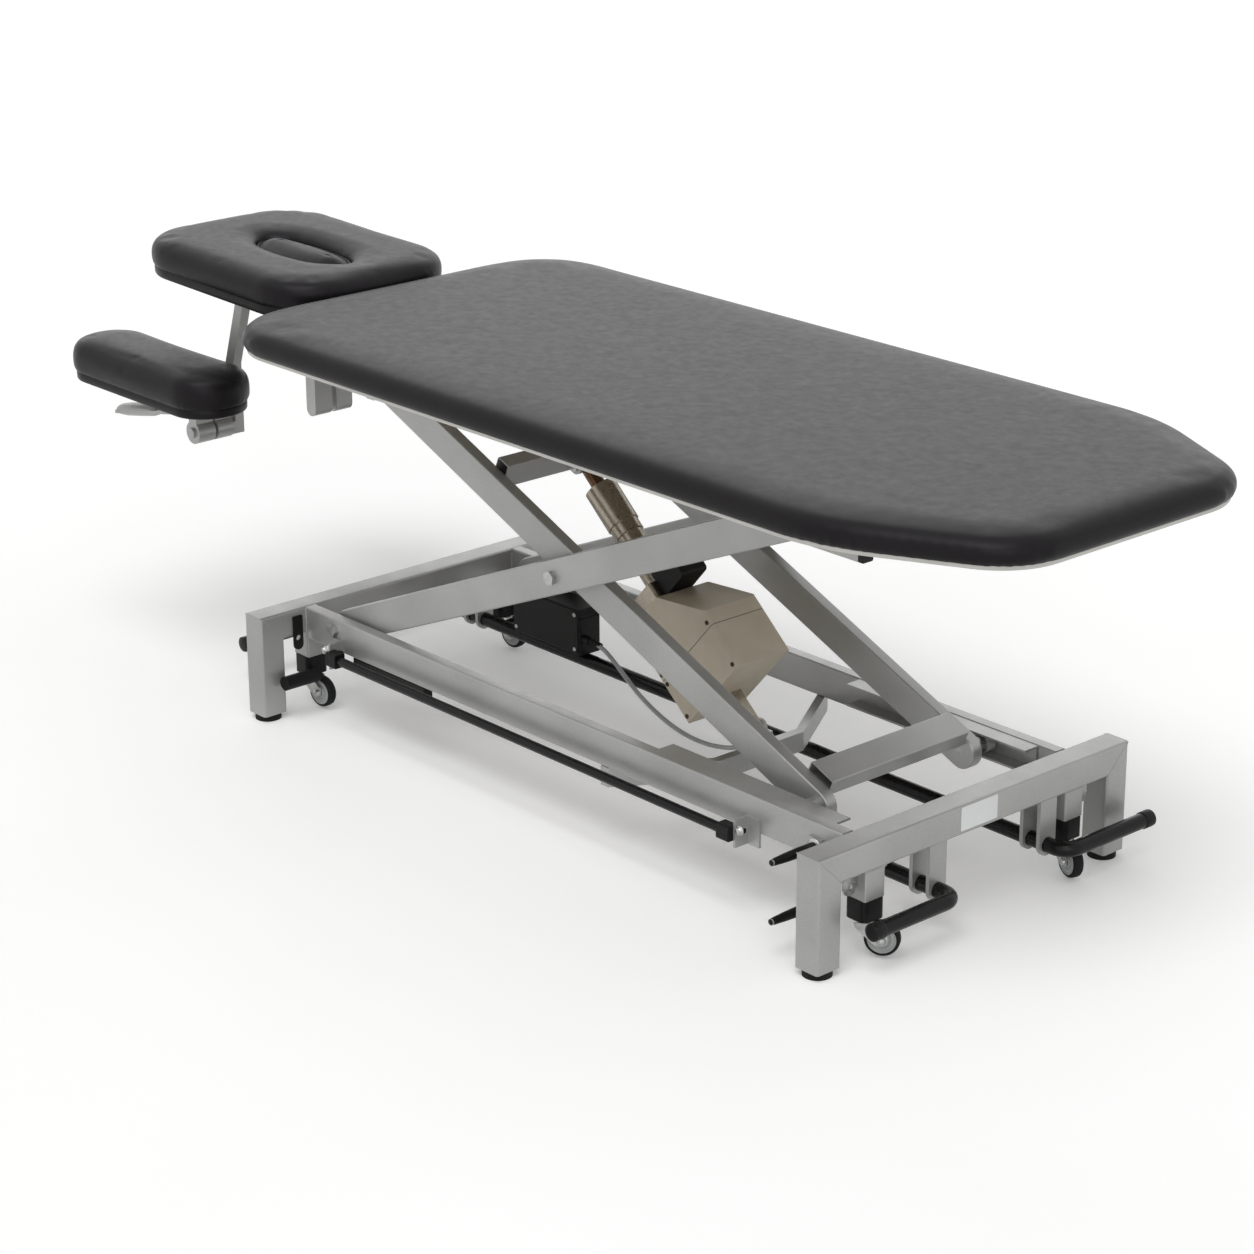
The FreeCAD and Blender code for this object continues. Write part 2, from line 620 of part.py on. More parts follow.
def clevis_pin(place_x, place_z):
    long = ear_span + 2 * s.fit_play
    shank = rod((place_x, -long / 2, place_z), "y", s.pin_radius, long)
    heads = [rod((place_x, start, place_z), "y", s.pin_head_radius, s.pin_head_high)
             for start in (-long / 2 - s.pin_head_high, long / 2)]
    return fused(shank, *heads)


def ear_bolts(place_x, place_z):
    start = s.ear_gap / 2
    stub_pin = fused(rod((place_x, start, place_z), "y", s.pin_radius, s.ear_thick),
                     rod((place_x, start + s.ear_thick, place_z), "y", s.pin_head_radius,
                         s.pin_head_high))
    return [stub_pin, mirrored(stub_pin)]


node(grouped(rear_bracket(), clevis_pin(rear_pin_x, s.rear_pin_height)), "actuator_bracket")
node(inner_frame(*[item for piece in (lower_axle, lower_collar)
                   for item in (piece, mirrored(piece))],
                 *ear_bolts(s.rod_pin_along, s.rod_pin_above)), "inner_arm_pins")


# Lifting actuator, drawn along -X from its rear pin and then tilted to its rod pin

rod_pin_x = keep("rod_pin_x", pivot_x + s.rod_pin_along * cosine(arm_slant)
                 + s.rod_pin_above * sine(arm_slant))
rod_pin_z = keep("rod_pin_z", deck_pivot_z - s.rod_pin_along * sine(arm_slant)
                 + s.rod_pin_above * cosine(arm_slant))
pin_rise = keep("pin_rise", rod_pin_z - s.rear_pin_height)
pin_run = keep("pin_run", rear_pin_x - rod_pin_x)
pin_apart = keep("pin_apart", long_side(pin_rise, pin_run))
actuator_slant = keep("actuator_slant", slant_of(pin_rise, pin_run))


def actuator_frame(*pieces):
    return swing(grouped(*pieces), (rear_pin_x, 0, s.rear_pin_height), actuator_slant)


def eye(place_x, hole_radius):
    ends = rod((place_x, -s.eye_wide / 2, 0), "y", s.eye_round, s.eye_wide)
    hole = rod((place_x, -s.eye_wide, 0), "y", hole_radius, 2 * s.eye_wide)
    return ends, hole


def nose_side(inset):
    floor = inset - s.motor_low
    return [(-nose_start, floor), (-nose_start, s.motor_tall - inset),
            (-s.motor_step, s.motor_tall - inset), (inset - s.motor_far, s.motor_nose - inset),
            (inset - s.motor_far, floor)]


nose_start = s.motor_seam + s.motor_gap
inside_wide = s.motor_wide - 2 * s.motor_wall
rear_case = rounded(block((-s.motor_seam, -s.motor_wide / 2, -s.motor_low),
                          (s.motor_seam - s.motor_near, s.motor_wide,
                           s.motor_tall + s.motor_low)),
                    s.motor_round, runs_along("x"))
rear_hollow = block((-s.motor_seam, -inside_wide / 2, -s.motor_low + s.motor_wall),
                    (s.motor_seam - s.motor_near - s.motor_wall, inside_wide,
                     s.motor_tall + s.motor_low - 2 * s.motor_wall))
nose_case = outline("XZ_Plane", nose_side(0 * s.motor_wall), s.motor_wide, "Symmetric",
                    [(s.motor_round, runs_along("x"))])
nose_hollow = outline("XZ_Plane", nose_side(s.motor_wall), inside_wide)
tongue_start = s.motor_near + s.motor_wall
tongue, tongue_hole = eye(0, s.pin_radius + s.turn_play)
tongue_bar = block((-tongue_start, -s.eye_wide / 2, -s.eye_round),
                   (tongue_start, s.eye_wide, 2 * s.eye_round))
mast_hole = rod((-s.motor_far - s.motor_wall, 0, 0), "x", s.mast_radius + s.fit_play,
                s.motor_far - s.motor_near)
tongue_slot = block((-tongue_start - s.motor_wall, -s.eye_wide / 2 - s.fit_play,
                     -s.eye_round - s.fit_play),
                    (2 * s.motor_wall + s.motor_near, s.eye_wide + 2 * s.fit_play,
                     2 * s.eye_round + 2 * s.fit_play))
node(actuator_frame(cut(rear_case, rear_hollow, tongue_slot)), "motor_case")
node(actuator_frame(cut(nose_case, nose_hollow, mast_hole)), "motor_cover")

# Inside: a gearbox against the rear wall, its motor beside the tube, and the lead screw
gearbox = block((-tongue_start - s.gearbox_long, -s.gearbox_wide / 2, -s.gearbox_low),
                (s.gearbox_long, s.gearbox_wide, s.gearbox_low + s.gearbox_tall))
mast_start = tongue_start + s.gearbox_long
drum = rod((-mast_start - s.drum_long, 0, s.drum_rise), "x", s.drum_radius, s.drum_long)
screw = rod((-s.screw_far, 0, 0), "x", s.screw_radius, s.screw_far - mast_start)
node(actuator_frame(fused(gearbox, drum), screw), "spindle_drive")

mast = cut(rod((-s.mast_far, 0, 0), "x", s.mast_radius, s.mast_far - mast_start),
           rod((-s.mast_far, 0, 0), "x", s.rod_radius + s.turn_play, s.mast_far - mast_start))
rear_tongue = cut(fused(tongue, tongue_bar), tongue_hole)
collar_start = s.motor_far + 2 * s.motor_gap
collar = cut(rounded(block((-collar_start - s.collar_long, -s.collar_wide / 2, -s.collar_low),
                           (s.collar_long, s.collar_wide, s.collar_low + s.mast_radius)),
                     s.motor_round, runs_along("x")),
             rod((-collar_start - 2 * s.collar_long, 0, 0), "x", s.mast_radius + s.fit_play,
                 3 * s.collar_long))
node(actuator_frame(mast, rear_tongue, collar), "actuator_tube")

# The sleeve is fixed to the rod and slides over the tube
sleeve = cut(fused(rod((-s.sleeve_far, 0, 0), "x", s.sleeve_radius,
                       s.sleeve_far - s.sleeve_neck_far),
                   rod((-s.sleeve_neck_far, 0, 0), "x", s.sleeve_neck_radius,
                       s.sleeve_neck_far - s.sleeve_near)),
             rod((-s.sleeve_far, 0, 0), "x", s.rod_radius + s.turn_play,
                 s.sleeve_far - s.sleeve_near),
             rod((-s.sleeve_far + s.sleeve_cap, 0, 0), "x", s.mast_radius + s.side_play,
                 s.sleeve_far - s.sleeve_near))
node(actuator_frame(sleeve), "rod_sleeve")

fitting = rounded(block((-collar_start - s.fitting_long, -s.fitting_wide / 2,
                         s.mast_radius + s.fit_play),
                        (s.fitting_long, s.fitting_wide, s.fitting_high)),
                  s.motor_round, runs_along("y"))
node(actuator_frame(fitting), "limit_switch_box")

# The pin through the rod's eye is left whole with it and ends short of the ears
rod_eye = eye(-pin_apart, s.pin_radius)[0]
rod_bar = rod((-pin_apart, 0, 0), "x", s.rod_radius, pin_apart - s.rod_start)
bore_end = pin_apart - s.eye_round - s.rod_end_wall
screw_nut_end = s.rod_start + s.screw_nut_long
screw_room = rod((-bore_end, 0, 0), "x", s.rod_radius - s.rod_wall, bore_end - screw_nut_end)
screw_hole = rod((-bore_end, 0, 0), "x", s.screw_radius + s.turn_play, bore_end - s.motor_near)
node(actuator_frame(cut(fused(rod_bar, rod_eye), screw_room, screw_hole)), "actuator_rod")


# Deck frame

deck_head = keep("deck_head", mid - pad_head + s.deck_head_inset)
deck_foot = keep("deck_foot", mid + s.deck_rail_foot)
deck_rail = cut(rail_tube(deck_head, deck_foot - deck_head, deck_rail_bottom),
                bolt_hole(pivot_x, deck_pivot_z))
node(pair(deck_rail), "deck_rails")


def end_cap(start):
    return rounded(block((start, rail_inner, deck_rail_bottom),
                         (s.cap_thick, s.rail_thick, s.rail_high)), s.rail_round, runs_along("x"))


caps = [end_cap(start) for start in (deck_head - s.cap_thick, deck_foot)]
node(grouped(*[item for cap in caps for item in (cap, mirrored(cap))]), "rail_end_caps")


def deck_tube(start):
    bottom = s.deck_top - s.deck_tube_drop - s.deck_tube_high
    wide = 2 * rail_inner
    return cut(rounded(block((start, -rail_inner, bottom),
                             (s.deck_tube_long, wide, s.deck_tube_high)),
                       s.rail_round, runs_along("y")),
               block((start + s.rail_wall, -rail_inner, bottom + s.rail_wall),
                     (s.deck_tube_long - 2 * s.rail_wall, wide,
                      s.deck_tube_high - 2 * s.rail_wall)))


tube_starts = (deck_head, upper_channel_x - s.deck_tube_long,
               upper_channel_x + s.upper_channel_long)
node(grouped(pair(upper_channel), *[deck_tube(start) for start in tube_starts]),
     "deck_crossmembers")
node(deck_bolts, "deck_pivot_bolts")


def end_bracket():
    start_x = mid - s.end_block_place - s.end_block_long / 2
    inner_start = rail_outer - s.end_block_outer - s.end_block_gap - s.end_block_inner
    tread = deck_rail_bottom - s.bracket_plate
    radius = s.end_block_long / 2
    plate = block((start_x, inner_start, tread),
                  (s.end_block_long, rail_outer - inner_start, s.bracket_plate))
    pieces = [plate]
    for start_y, wide in ((inner_start, s.end_block_inner),
                          (rail_outer - s.end_block_outer, s.end_block_outer)):
        pieces.append(block((start_x, start_y, tread - s.end_block_high),
                            (s.end_block_long, wide, s.end_block_high)))
        pieces.append(rod((start_x + radius, start_y, tread - s.end_block_high), "y", radius,
                          wide))
    return fused(*pieces)


node(pair(end_bracket()), "head_end_brackets")


# Headrest hinge: two lugs beside each side bar of the headrest, with a pin through them

hinge_x = keep("hinge_x", mid - hinge_reach)
head_bar_in = s.head_bar_pitch / 2 - s.head_bar_wide / 2
head_bar_out = s.head_bar_pitch / 2 + s.head_bar_wide / 2


def hinge_lug(start_y):
    reach = deck_head - hinge_x
    web = block((hinge_x, start_y, s.hinge_height - s.knuckle_round),
                (reach, s.lug_thick, 2 * s.knuckle_round))
    nose = rod((hinge_x, start_y, s.hinge_height), "y", s.knuckle_round, s.lug_thick)
    hole = rod((hinge_x, start_y - s.lug_thick, s.hinge_height), "y",
               s.hinge_pin_radius + s.fit_play, 3 * s.lug_thick)
    return cut(fused(web, nose), hole)


lug_starts = (head_bar_in - s.lug_play - s.lug_thick, head_bar_out + s.lug_play)
lugs = [hinge_lug(start) for start in lug_starts]
pin_start = lug_starts[0] - s.pin_head_high
hinge_pin = rod((hinge_x, pin_start, s.hinge_height), "y", s.hinge_pin_radius,
                lug_starts[1] + s.lug_thick + s.pin_head_high - pin_start)
node(grouped(*[item for piece in lugs + [hinge_pin] for item in (piece, mirrored(piece))]),
     "headrest_hinge")


# Boards and cushions share one outline each; a cushion is a loft through drawn-in outlines

def rounded_wire(corners, radii, inset, height):
    count = len(corners)
    points = [Vector(float(x), float(y), 0) for x, y in corners]
    sides = []
    for place in range(count):
        along = (points[(place + 1) % count] - points[place]).normalize()
        inward = Vector(-along.y, along.x, 0)
        sides.append((points[place] + inward * inset, along))
    tangents = []
    for place in range(count):
        (base_a, along_a), (base_b, along_b) = sides[place - 1], sides[place]
        cross = along_a.x * along_b.y - along_a.y * along_b.x
        gap = base_b - base_a
        corner = base_a + along_a * ((gap.x * along_b.y - gap.y * along_b.x) / cross)
        radius = float(radii[place]) - inset
        turn = math.atan2(cross, along_a.dot(along_b))
        reach = radius * math.tan(turn / 2)
        start = corner - along_a * reach
        centre = start + Vector(-along_a.y, along_a.x, 0) * radius
        middle = centre + (corner - centre).normalize() * radius
        tangents.append((start, middle, corner + along_b * reach))
    edges = []
    for place in range(count):
        lift = Vector(0, 0, height)
        start, middle, end = [point + lift for point in tangents[place]]
        edges.append(Part.Arc(start, middle, end).toShape())
        edges.append(Part.LineSegment(end, tangents[(place + 1) % count][0] + lift).toShape())
    return Part.Wire(edges)


def slab(corners, radii, inset, bottom, height):
    face = Part.Face(rounded_wire(corners, radii, float(inset), float(bottom)))
    return face.extrude(Vector(0, 0, float(height)))


def cushion(corners, radii, bottom, thick, roll):
    wires = [rounded_wire(corners, radii, roll_share * float(roll),
                          float(bottom) + thick_share * float(thick))
             for thick_share, roll_share in pad_section_shares]
    return Part.makeLoft(wires, True, True)


def made(shape, placement=None):
    item = doc.addObject("Part::Feature", "soft_form")
    item.Shape = shape
    if placement:
        item.Placement = placement
    return item


shoulder_x = mid + s.pad_foot_reach - s.pad_taper
pad_corners = [(mid - pad_head, -s.pad_width / 2), (shoulder_x, -s.pad_width / 2),
               (mid + s.pad_foot_reach, -s.pad_toe_width / 2),
               (mid + s.pad_foot_reach, s.pad_toe_width / 2), (shoulder_x, s.pad_width / 2),
               (mid - pad_head, s.pad_width / 2)]
pad_rounds = [s.pad_head_round, s.pad_shoulder_round, s.pad_toe_round, s.pad_toe_round,
              s.pad_shoulder_round, s.pad_head_round]
main_board = slab(pad_corners, pad_rounds, s.board_inset, s.deck_top, s.board_thick)
board_room = slab(pad_corners, pad_rounds, s.board_inset - s.soft_gap, s.deck_top,
                  s.board_thick + s.soft_gap)
main_pad = cushion(pad_corners, pad_rounds, s.deck_top, s.pad_thick, s.pad_roll)
node(made(main_board), "main_board")
node(made(main_pad.cut(board_room)), "main_pad")


# Headrest, drawn level from its hinge and then tilted

head_place = Placement(Vector(hinge_x, 0, s.hinge_height), Rotation(Vector(0, 1, 0), s.head_tilt))


def headrest_frame(*pieces):
    return swing(grouped(*pieces), (hinge_x, 0, s.hinge_height), s.head_tilt)


def rectangle(middle_x, middle_y, length, width):
    return [(middle_x - length / 2, middle_y - width / 2),
            (middle_x + length / 2, middle_y - width / 2),
            (middle_x + length / 2, middle_y + width / 2),
            (middle_x - length / 2, middle_y + width / 2)]


head_pad_mid = -s.head_pad_start - s.head_pad_long / 2
head_corners = rectangle(head_pad_mid, 0, s.head_pad_long, s.head_pad_width)
head_rounds = [s.head_pad_round] * 4
face_corners = rectangle(-s.face_from_hinge, 0, s.face_long, s.face_wide)
face_rounds = [s.face_wide * face_round_share] * 4
board_bottom = s.head_pad_lift - s.head_board_thick
frame_bottom = board_bottom - s.head_bar_high


def head_bar(start_y):
    full = block((-s.head_bar_long, start_y, frame_bottom),
                 (s.head_bar_long, s.head_bar_wide, s.head_bar_high))
    room = block((-s.head_bar_long, start_y + s.bar_wall, frame_bottom + s.bar_wall),
                 (s.head_bar_long - s.head_pad_start - s.knuckle_round,
                  s.head_bar_wide - 2 * s.bar_wall, s.head_bar_high - 2 * s.bar_wall))
    clear = block((-s.head_pad_start, start_y - s.lug_thick, frame_bottom - s.head_bar_high),
                  (2 * s.head_pad_start, s.head_bar_wide + 2 * s.lug_thick,
                   3 * s.head_bar_high))
    neck = block((-s.head_pad_start - s.knuckle_round, start_y, -s.knuckle_round),
                 (s.head_pad_start + s.knuckle_round, s.head_bar_wide,
                  s.knuckle_round + board_bottom))
    knuckle = rod((0, start_y, 0), "y", s.knuckle_round, s.head_bar_wide)
    hole = rod((0, start_y - s.head_bar_wide, 0), "y", s.hinge_pin_radius + s.turn_play,
               3 * s.head_bar_wide)
    return cut(fused(cut(full, room, clear), neck, knuckle), hole)


def head_cross_bar(start_x):
    wide = 2 * head_bar_in
    return cut(block((start_x, -head_bar_in, frame_bottom),
                     (s.deck_tube_long, wide, s.head_bar_high)),
               block((start_x + s.bar_wall, -head_bar_in, frame_bottom + s.bar_wall),
                     (s.deck_tube_long - 2 * s.bar_wall, wide,
                      s.head_bar_high - 2 * s.bar_wall)))


side_bar = head_bar(head_bar_in)
cross_bars = [head_cross_bar(start) for start in
              (-s.head_bar_long, -s.face_from_hinge + s.face_long / 2 + s.face_ledge)]
node(headrest_frame(side_bar, mirrored(side_bar), *cross_bars), "headrest_frame")

head_board = slab(head_corners, head_rounds, s.head_board_inset, board_bottom,
                  s.head_board_thick)
head_board = head_board.cut(slab(face_corners, face_rounds, s.face_ledge,
                                 board_bottom - s.head_board_thick, 3 * s.head_board_thick))
node(made(head_board, head_place), "headrest_board")

pad_top = s.head_pad_lift + s.head_pad_thick
head_pad = cushion(head_corners, head_rounds, s.head_pad_lift, s.head_pad_thick,
                   s.head_pad_roll)
face_hole = slab(face_corners, face_rounds, 0, s.head_pad_lift - s.head_pad_thick,
                 3 * s.head_pad_thick)
dish_wires = [rounded_wire(face_corners, face_rounds, float(-s.dish_reach * reach_share),
                           float(pad_top - s.dish_deep * (1 - lift_share)))
              for reach_share, lift_share in dish_shares]
dish = Part.makeLoft(dish_wires, True, False)
node(made(head_pad.cut(face_hole).cut(dish), head_place), "headrest_pad")

plug_corners = rectangle(-s.face_from_hinge, 0, s.face_long - 2 * s.plug_gap,
                         s.face_wide - 2 * s.plug_gap)
plug = cushion(plug_corners, [radius - s.plug_gap for radius in face_rounds],
               s.head_pad_lift + s.soft_gap, s.head_pad_thick - s.plug_sink - s.soft_gap,
               s.head_pad_roll * plug_roll_share)
node(made(plug, head_place), "face_plug")


# Armrests under the headrest

arm_pin_x = keep("arm_pin_x", hinge_x - s.hanger_from_hinge)
inner_knuckle_y = head_bar_out + s.hanger_thick + s.knuckle_start
outer_knuckle_y = inner_knuckle_y + s.inner_knuckle_wide + s.knuckle_gap
knuckle_top = s.armrest_bottom - s.armrest_board


def knuckle(start_y, wide, top):
    half = s.hanger_wide / 2
    web = block((arm_pin_x - half, start_y, s.arm_pin_height),
                (s.hanger_wide, wide, top - s.arm_pin_height))
    nose = rod((arm_pin_x, start_y, s.arm_pin_height), "y", s.arm_knuckle_round, wide)
    return [web, nose]


def armrest_hanger():
    half = s.hanger_wide / 2
    top = s.hinge_height + s.head_pad_lift - s.head_board_thick
    bar = outline("XZ_Plane",
                  [(s.hanger_lean - half, top),
                   (-half, s.hanger_bend_height), (-half, s.hanger_foot_height),
                   (half, s.hanger_foot_height), (half, s.hanger_bend_height),
                   (s.hanger_lean + half, top)],
                  s.hanger_thick)
    put(bar, (arm_pin_x, head_bar_out + s.hanger_thick / 2, 0))
    foot = block((arm_pin_x - half, head_bar_out, s.hanger_foot_height),
                 (s.hanger_wide, s.hanger_thick + s.knuckle_start, s.hanger_wide))
    web, nose = knuckle(inner_knuckle_y, s.inner_knuckle_wide, knuckle_top - s.knuckle_clear)
    hole = rod((arm_pin_x, head_bar_out, s.arm_pin_height), "y", s.pin_radius + s.fit_play,
               s.base_width)
    solid = cut(fused(bar, foot, web, nose), hole)
    start = inner_knuckle_y - s.knuckle_start / 2
    long = outer_knuckle_y + s.outer_knuckle_wide + s.pin_head_high - start
    pin = fused(rod((arm_pin_x, start, s.arm_pin_height), "y", s.pin_radius, long),
                rod((arm_pin_x, start + long - s.pin_head_high + s.side_play,
                     s.arm_pin_height), "y", s.pin_head_radius, s.pin_head_high))
    return [solid, pin]


node(grouped(*[item for piece in armrest_hanger() for item in (piece, mirrored(piece))]),
     "armrest_hangers")

armrest_round = s.armrest_wide / 2 * stadium_share


def armrest_corners(side):
    return rectangle(mid - armrest_place, side * s.armrest_offset, s.armrest_long,
                     s.armrest_wide)


def armrest_bracket(side):
    web, nose = knuckle(outer_knuckle_y, s.outer_knuckle_wide, knuckle_top)
    hole = rod((arm_pin_x, outer_knuckle_y - s.knuckle_gap, s.arm_pin_height), "y",
               s.pin_radius + s.turn_play, s.outer_knuckle_wide + 2 * s.knuckle_gap)
    lever_x = hinge_x - s.lever_pin_from_hinge
    lug_y = outer_knuckle_y + s.outer_knuckle_wide / 2 - s.lever_thick
    lug = fused(block((lever_x - s.lever_thick, lug_y, s.lever_pin_height),
                      (2 * s.lever_thick, 2 * s.lever_thick, knuckle_top - s.lever_pin_height)),
                rod((lever_x, lug_y, s.lever_pin_height), "y", s.lever_thick,
                    2 * s.lever_thick))
    steel = cut(fused(web, nose, lug), hole)
    return mirrored(steel) if side < 0 else steel


def lever(side):
    radius = s.lever_thick + s.side_play
    middle_y = outer_knuckle_y + s.outer_knuckle_wide / 2
    yoke = [rod((0, start, 0), "y", s.lever_thick, s.lever_wide / 2 - radius)
            for start in (-s.lever_wide / 2, radius)]
    slant = slant_of(s.lever_drop, s.lever_long)
    blade = outline("XY_Plane",
                    [(-radius, s.lever_wide / 2), (-s.lever_long, s.lever_tip_wide / 2),
                     (-s.lever_long, -s.lever_tip_wide / 2), (-radius, -s.lever_wide / 2)],
                    s.lever_thick, "Symmetric",
                    [(s.lever_wide / 3, lambda edge: runs_along("z")(edge)
                      and edge.CenterOfMass.x < -s.lever_long / 2)])
    straps = [block((-2 * radius, start, -s.lever_thick / 2),
                    (2 * radius, s.lever_wide / 2 - radius, s.lever_thick))
              for start in (-s.lever_wide / 2, radius)]
    piece = swing(grouped(fused(blade, *yoke, *straps)),
                  (hinge_x - s.lever_pin_from_hinge, middle_y, s.lever_pin_height), -slant)
    return mirrored(piece) if side < 0 else grouped(piece)


for side, word in ((-1, "near"), (1, "far")):
    corners = armrest_corners(side)
    rounds = [armrest_round] * 4
    board = made(slab(corners, rounds, s.armrest_board_inset, knuckle_top, s.armrest_board))
    pad = made(cushion(corners, rounds, s.armrest_bottom, s.armrest_thick, s.armrest_roll))
    node(grouped(armrest_bracket(side), board), word + "_armrest_bracket")
    node(pad, word + "_armrest_pad")
    node(lever(side), word + "_armrest_lever")


# Casters: a stub under the beam, a sliding sleeve, a swivel fork and a wheel

def stub(place_x, side):
    corner_y = side * s.caster_offset - s.stub_side / 2
    bottom = beam_bottom - s.stub_long
    room = s.stub_side - 2 * s.stub_wall
    full = rounded(block((place_x - s.stub_side / 2, corner_y, bottom),
                         (s.stub_side, s.stub_side, s.stub_long)), s.rail_round,
                   runs_along("z"))
    return cut(full, block((place_x - room / 2, corner_y + s.stub_wall, bottom),
                           (room, room, s.stub_long - s.stub_wall)))


beams = (head_beam_mid, foot_beam_mid)
node(grouped(*[stub(x, side) for x in beams for side in (-1, 1)]), "caster_stubs")
stub_bottom = beam_bottom - s.stub_long


def caster_sleeve(place_x, side):
    corner_y = side * s.caster_offset - s.sleeve_side / 2
    body = rounded(block((place_x - s.sleeve_side / 2, corner_y, s.sleeve_bottom),
                         (s.sleeve_side, s.sleeve_side,
                          stub_bottom - s.side_play - s.sleeve_bottom)),
                   s.sleeve_round, runs_along("z"))
    plunger = rod((place_x, side * s.caster_offset, s.sleeve_bottom + s.stem_long), "z",
                  s.plunger_radius, stub_bottom + s.plunger_long - s.sleeve_bottom - s.stem_long)
    bore = rod((place_x, side * s.caster_offset, s.sleeve_bottom - s.stem_long), "z",
               s.stem_radius + s.turn_play, 2 * s.stem_long + s.side_play)
    return cut(fused(body, plunger), bore)


def side_tube(side):
    place_x = mid - s.side_tube_place
    start = s.side_tube_start if side > 0 else -s.side_tube_reach
    tube = rod((place_x, start, s.pedal_height), "y", s.pedal_radius,
               s.side_tube_reach - s.side_tube_start)
    lug_x = head_beam_mid + s.sleeve_side / 2 - s.fork_plate
    wide = s.caster_offset + s.sleeve_side / 2 - s.side_tube_start
    lug = block((lug_x, s.side_tube_start if side > 0 else -s.side_tube_start - wide,
                 s.pedal_height - s.pedal_radius / 2),
                (place_x - lug_x, wide, s.pedal_radius))
    return [tube, lug]


node(grouped(*[caster_sleeve(foot_beam_mid, side) for side in (-1, 1)]), "foot_caster_sleeves")
node(grouped(*[fused(caster_sleeve(head_beam_mid, side), *side_tube(side))
               for side in (-1, 1)]), "head_caster_sleeves")

wheel_z = s.wheel_floor_gap + s.wheel_radius
leg_in = s.wheel_wide / 2 + s.wheel_side_gap
disc_top = s.sleeve_bottom - s.side_play


def caster_fork(place_x, side, turn):
    disc_bottom = disc_top - s.fork_disc_high
    half = s.fork_leg_wide / 2
    disc = rod((0, 0, disc_bottom), "z", s.fork_disc_radius, s.fork_disc_high)
    stem = rod((0, 0, disc_bottom), "z", s.stem_radius, s.fork_disc_high + s.stem_long)
    pieces = [disc, stem]
    for start_y in (-leg_in - s.fork_plate, leg_in):
        leg = outline("XZ_Plane",
                      [(-half, disc_bottom), (half, disc_bottom),
                       (s.wheel_trail + half, wheel_z), (s.wheel_trail - half, wheel_z)],
                      s.fork_plate)
        pieces.append(put(leg, (0, start_y + s.fork_plate / 2, 0)))
        pieces.append(rod((s.wheel_trail, start_y, wheel_z), "y", half, s.fork_plate))
    axle_half = leg_in + 2 * s.fork_plate
    pieces.append(rod((s.wheel_trail, -axle_half, wheel_z), "y", s.wheel_axle_radius,
                      2 * axle_half))
    return swing(grouped(fused(*pieces)), (place_x, side * s.caster_offset, 0), turn, "z")


def caster_wheel(place_x, side, turn):
    half = s.wheel_wide / 2
    tyre = cut(rounded(rod((s.wheel_trail, -half, wheel_z), "y", s.wheel_radius, s.wheel_wide),
                       s.tyre_round, lambda edge: isinstance(edge.Curve, Part.Circle)),
               rod((s.wheel_trail, -s.wheel_wide, wheel_z), "y", s.hub_radius, 2 * s.wheel_wide))
    hub = cut(rod((s.wheel_trail, -half + s.wheel_side_gap, wheel_z), "y", s.hub_radius,
                  s.wheel_wide - 2 * s.wheel_side_gap),
              rod((s.wheel_trail, -s.wheel_wide, wheel_z), "y",
                  s.wheel_axle_radius + s.turn_play, 2 * s.wheel_wide))
    return swing(grouped(tyre, hub), (place_x, side * s.caster_offset, 0), turn, "z")


casters = [("near_foot", foot_beam_mid, -1, s.near_caster_turn),
           ("far_foot", foot_beam_mid, 1, s.far_caster_turn),
           ("near_head", head_beam_mid, -1, s.head_caster_turn),
           ("far_head", head_beam_mid, 1, s.head_caster_turn)]
for word, place_x, side, turn in casters:
    node(caster_fork(place_x, side, turn), word + "_caster_fork")
    node(caster_wheel(place_x, side, turn), word + "_caster_wheel")


# Pedals: bent tubes that turn in leaves under the beams

foot_turn = mid + s.pedal_out - s.pedal_bend
cap_radius = s.pedal_radius + s.pedal_cap_extra


def near_pedal():
    along = rod((mid + s.near_pedal_start, -s.near_pedal_offset, s.pedal_height), "x",
                s.pedal_radius, foot_turn - mid - s.near_pedal_start)
    corner = bend((foot_turn, -s.near_pedal_offset - s.pedal_bend, s.pedal_height),
                  s.pedal_radius, s.pedal_bend, 0)
    across = rod((mid + s.pedal_out, -s.near_pedal_reach, s.pedal_height), "y", s.pedal_radius,
                 s.near_pedal_reach - s.near_pedal_offset - s.pedal_bend)
    cap = rod((mid + s.pedal_out, -s.near_pedal_reach, s.pedal_height), "y", cap_radius,
              s.pedal_cap_long)
    return fused(along, corner, across, cap)


def far_pedal():
    head_turn = mid - s.head_pedal_out + s.pedal_bend
    along = rod((head_turn, s.far_pedal_offset, s.pedal_height), "x", s.pedal_radius,
                foot_turn - head_turn)
    foot_bend = bend((foot_turn, s.far_pedal_offset + s.pedal_bend, s.pedal_height),
                     s.pedal_radius, s.pedal_bend, -90)
    foot_bar = rod((mid + s.pedal_out, s.far_pedal_offset + s.pedal_bend, s.pedal_height), "y",
                   s.pedal_radius, s.far_pedal_reach - s.far_pedal_offset - s.pedal_bend)
    head_bend = bend((head_turn, s.far_pedal_offset - s.pedal_bend, s.pedal_height),
                     s.pedal_radius, s.pedal_bend, 90)
    head_x = mid - s.head_pedal_out
    head_bar = rod((head_x, -s.head_pedal_reach, s.pedal_height), "y", s.pedal_radius,
                   s.head_pedal_reach + s.far_pedal_offset - s.pedal_bend)
    caps = [rod((mid + s.pedal_out, s.far_pedal_reach - s.pedal_cap_long, s.pedal_height), "y",
                cap_radius, s.pedal_cap_long),
            rod((head_x, -s.head_pedal_reach, s.pedal_height), "y", cap_radius,
                s.pedal_cap_long)]
    return fused(along, foot_bend, foot_bar, head_bend, head_bar, *caps)


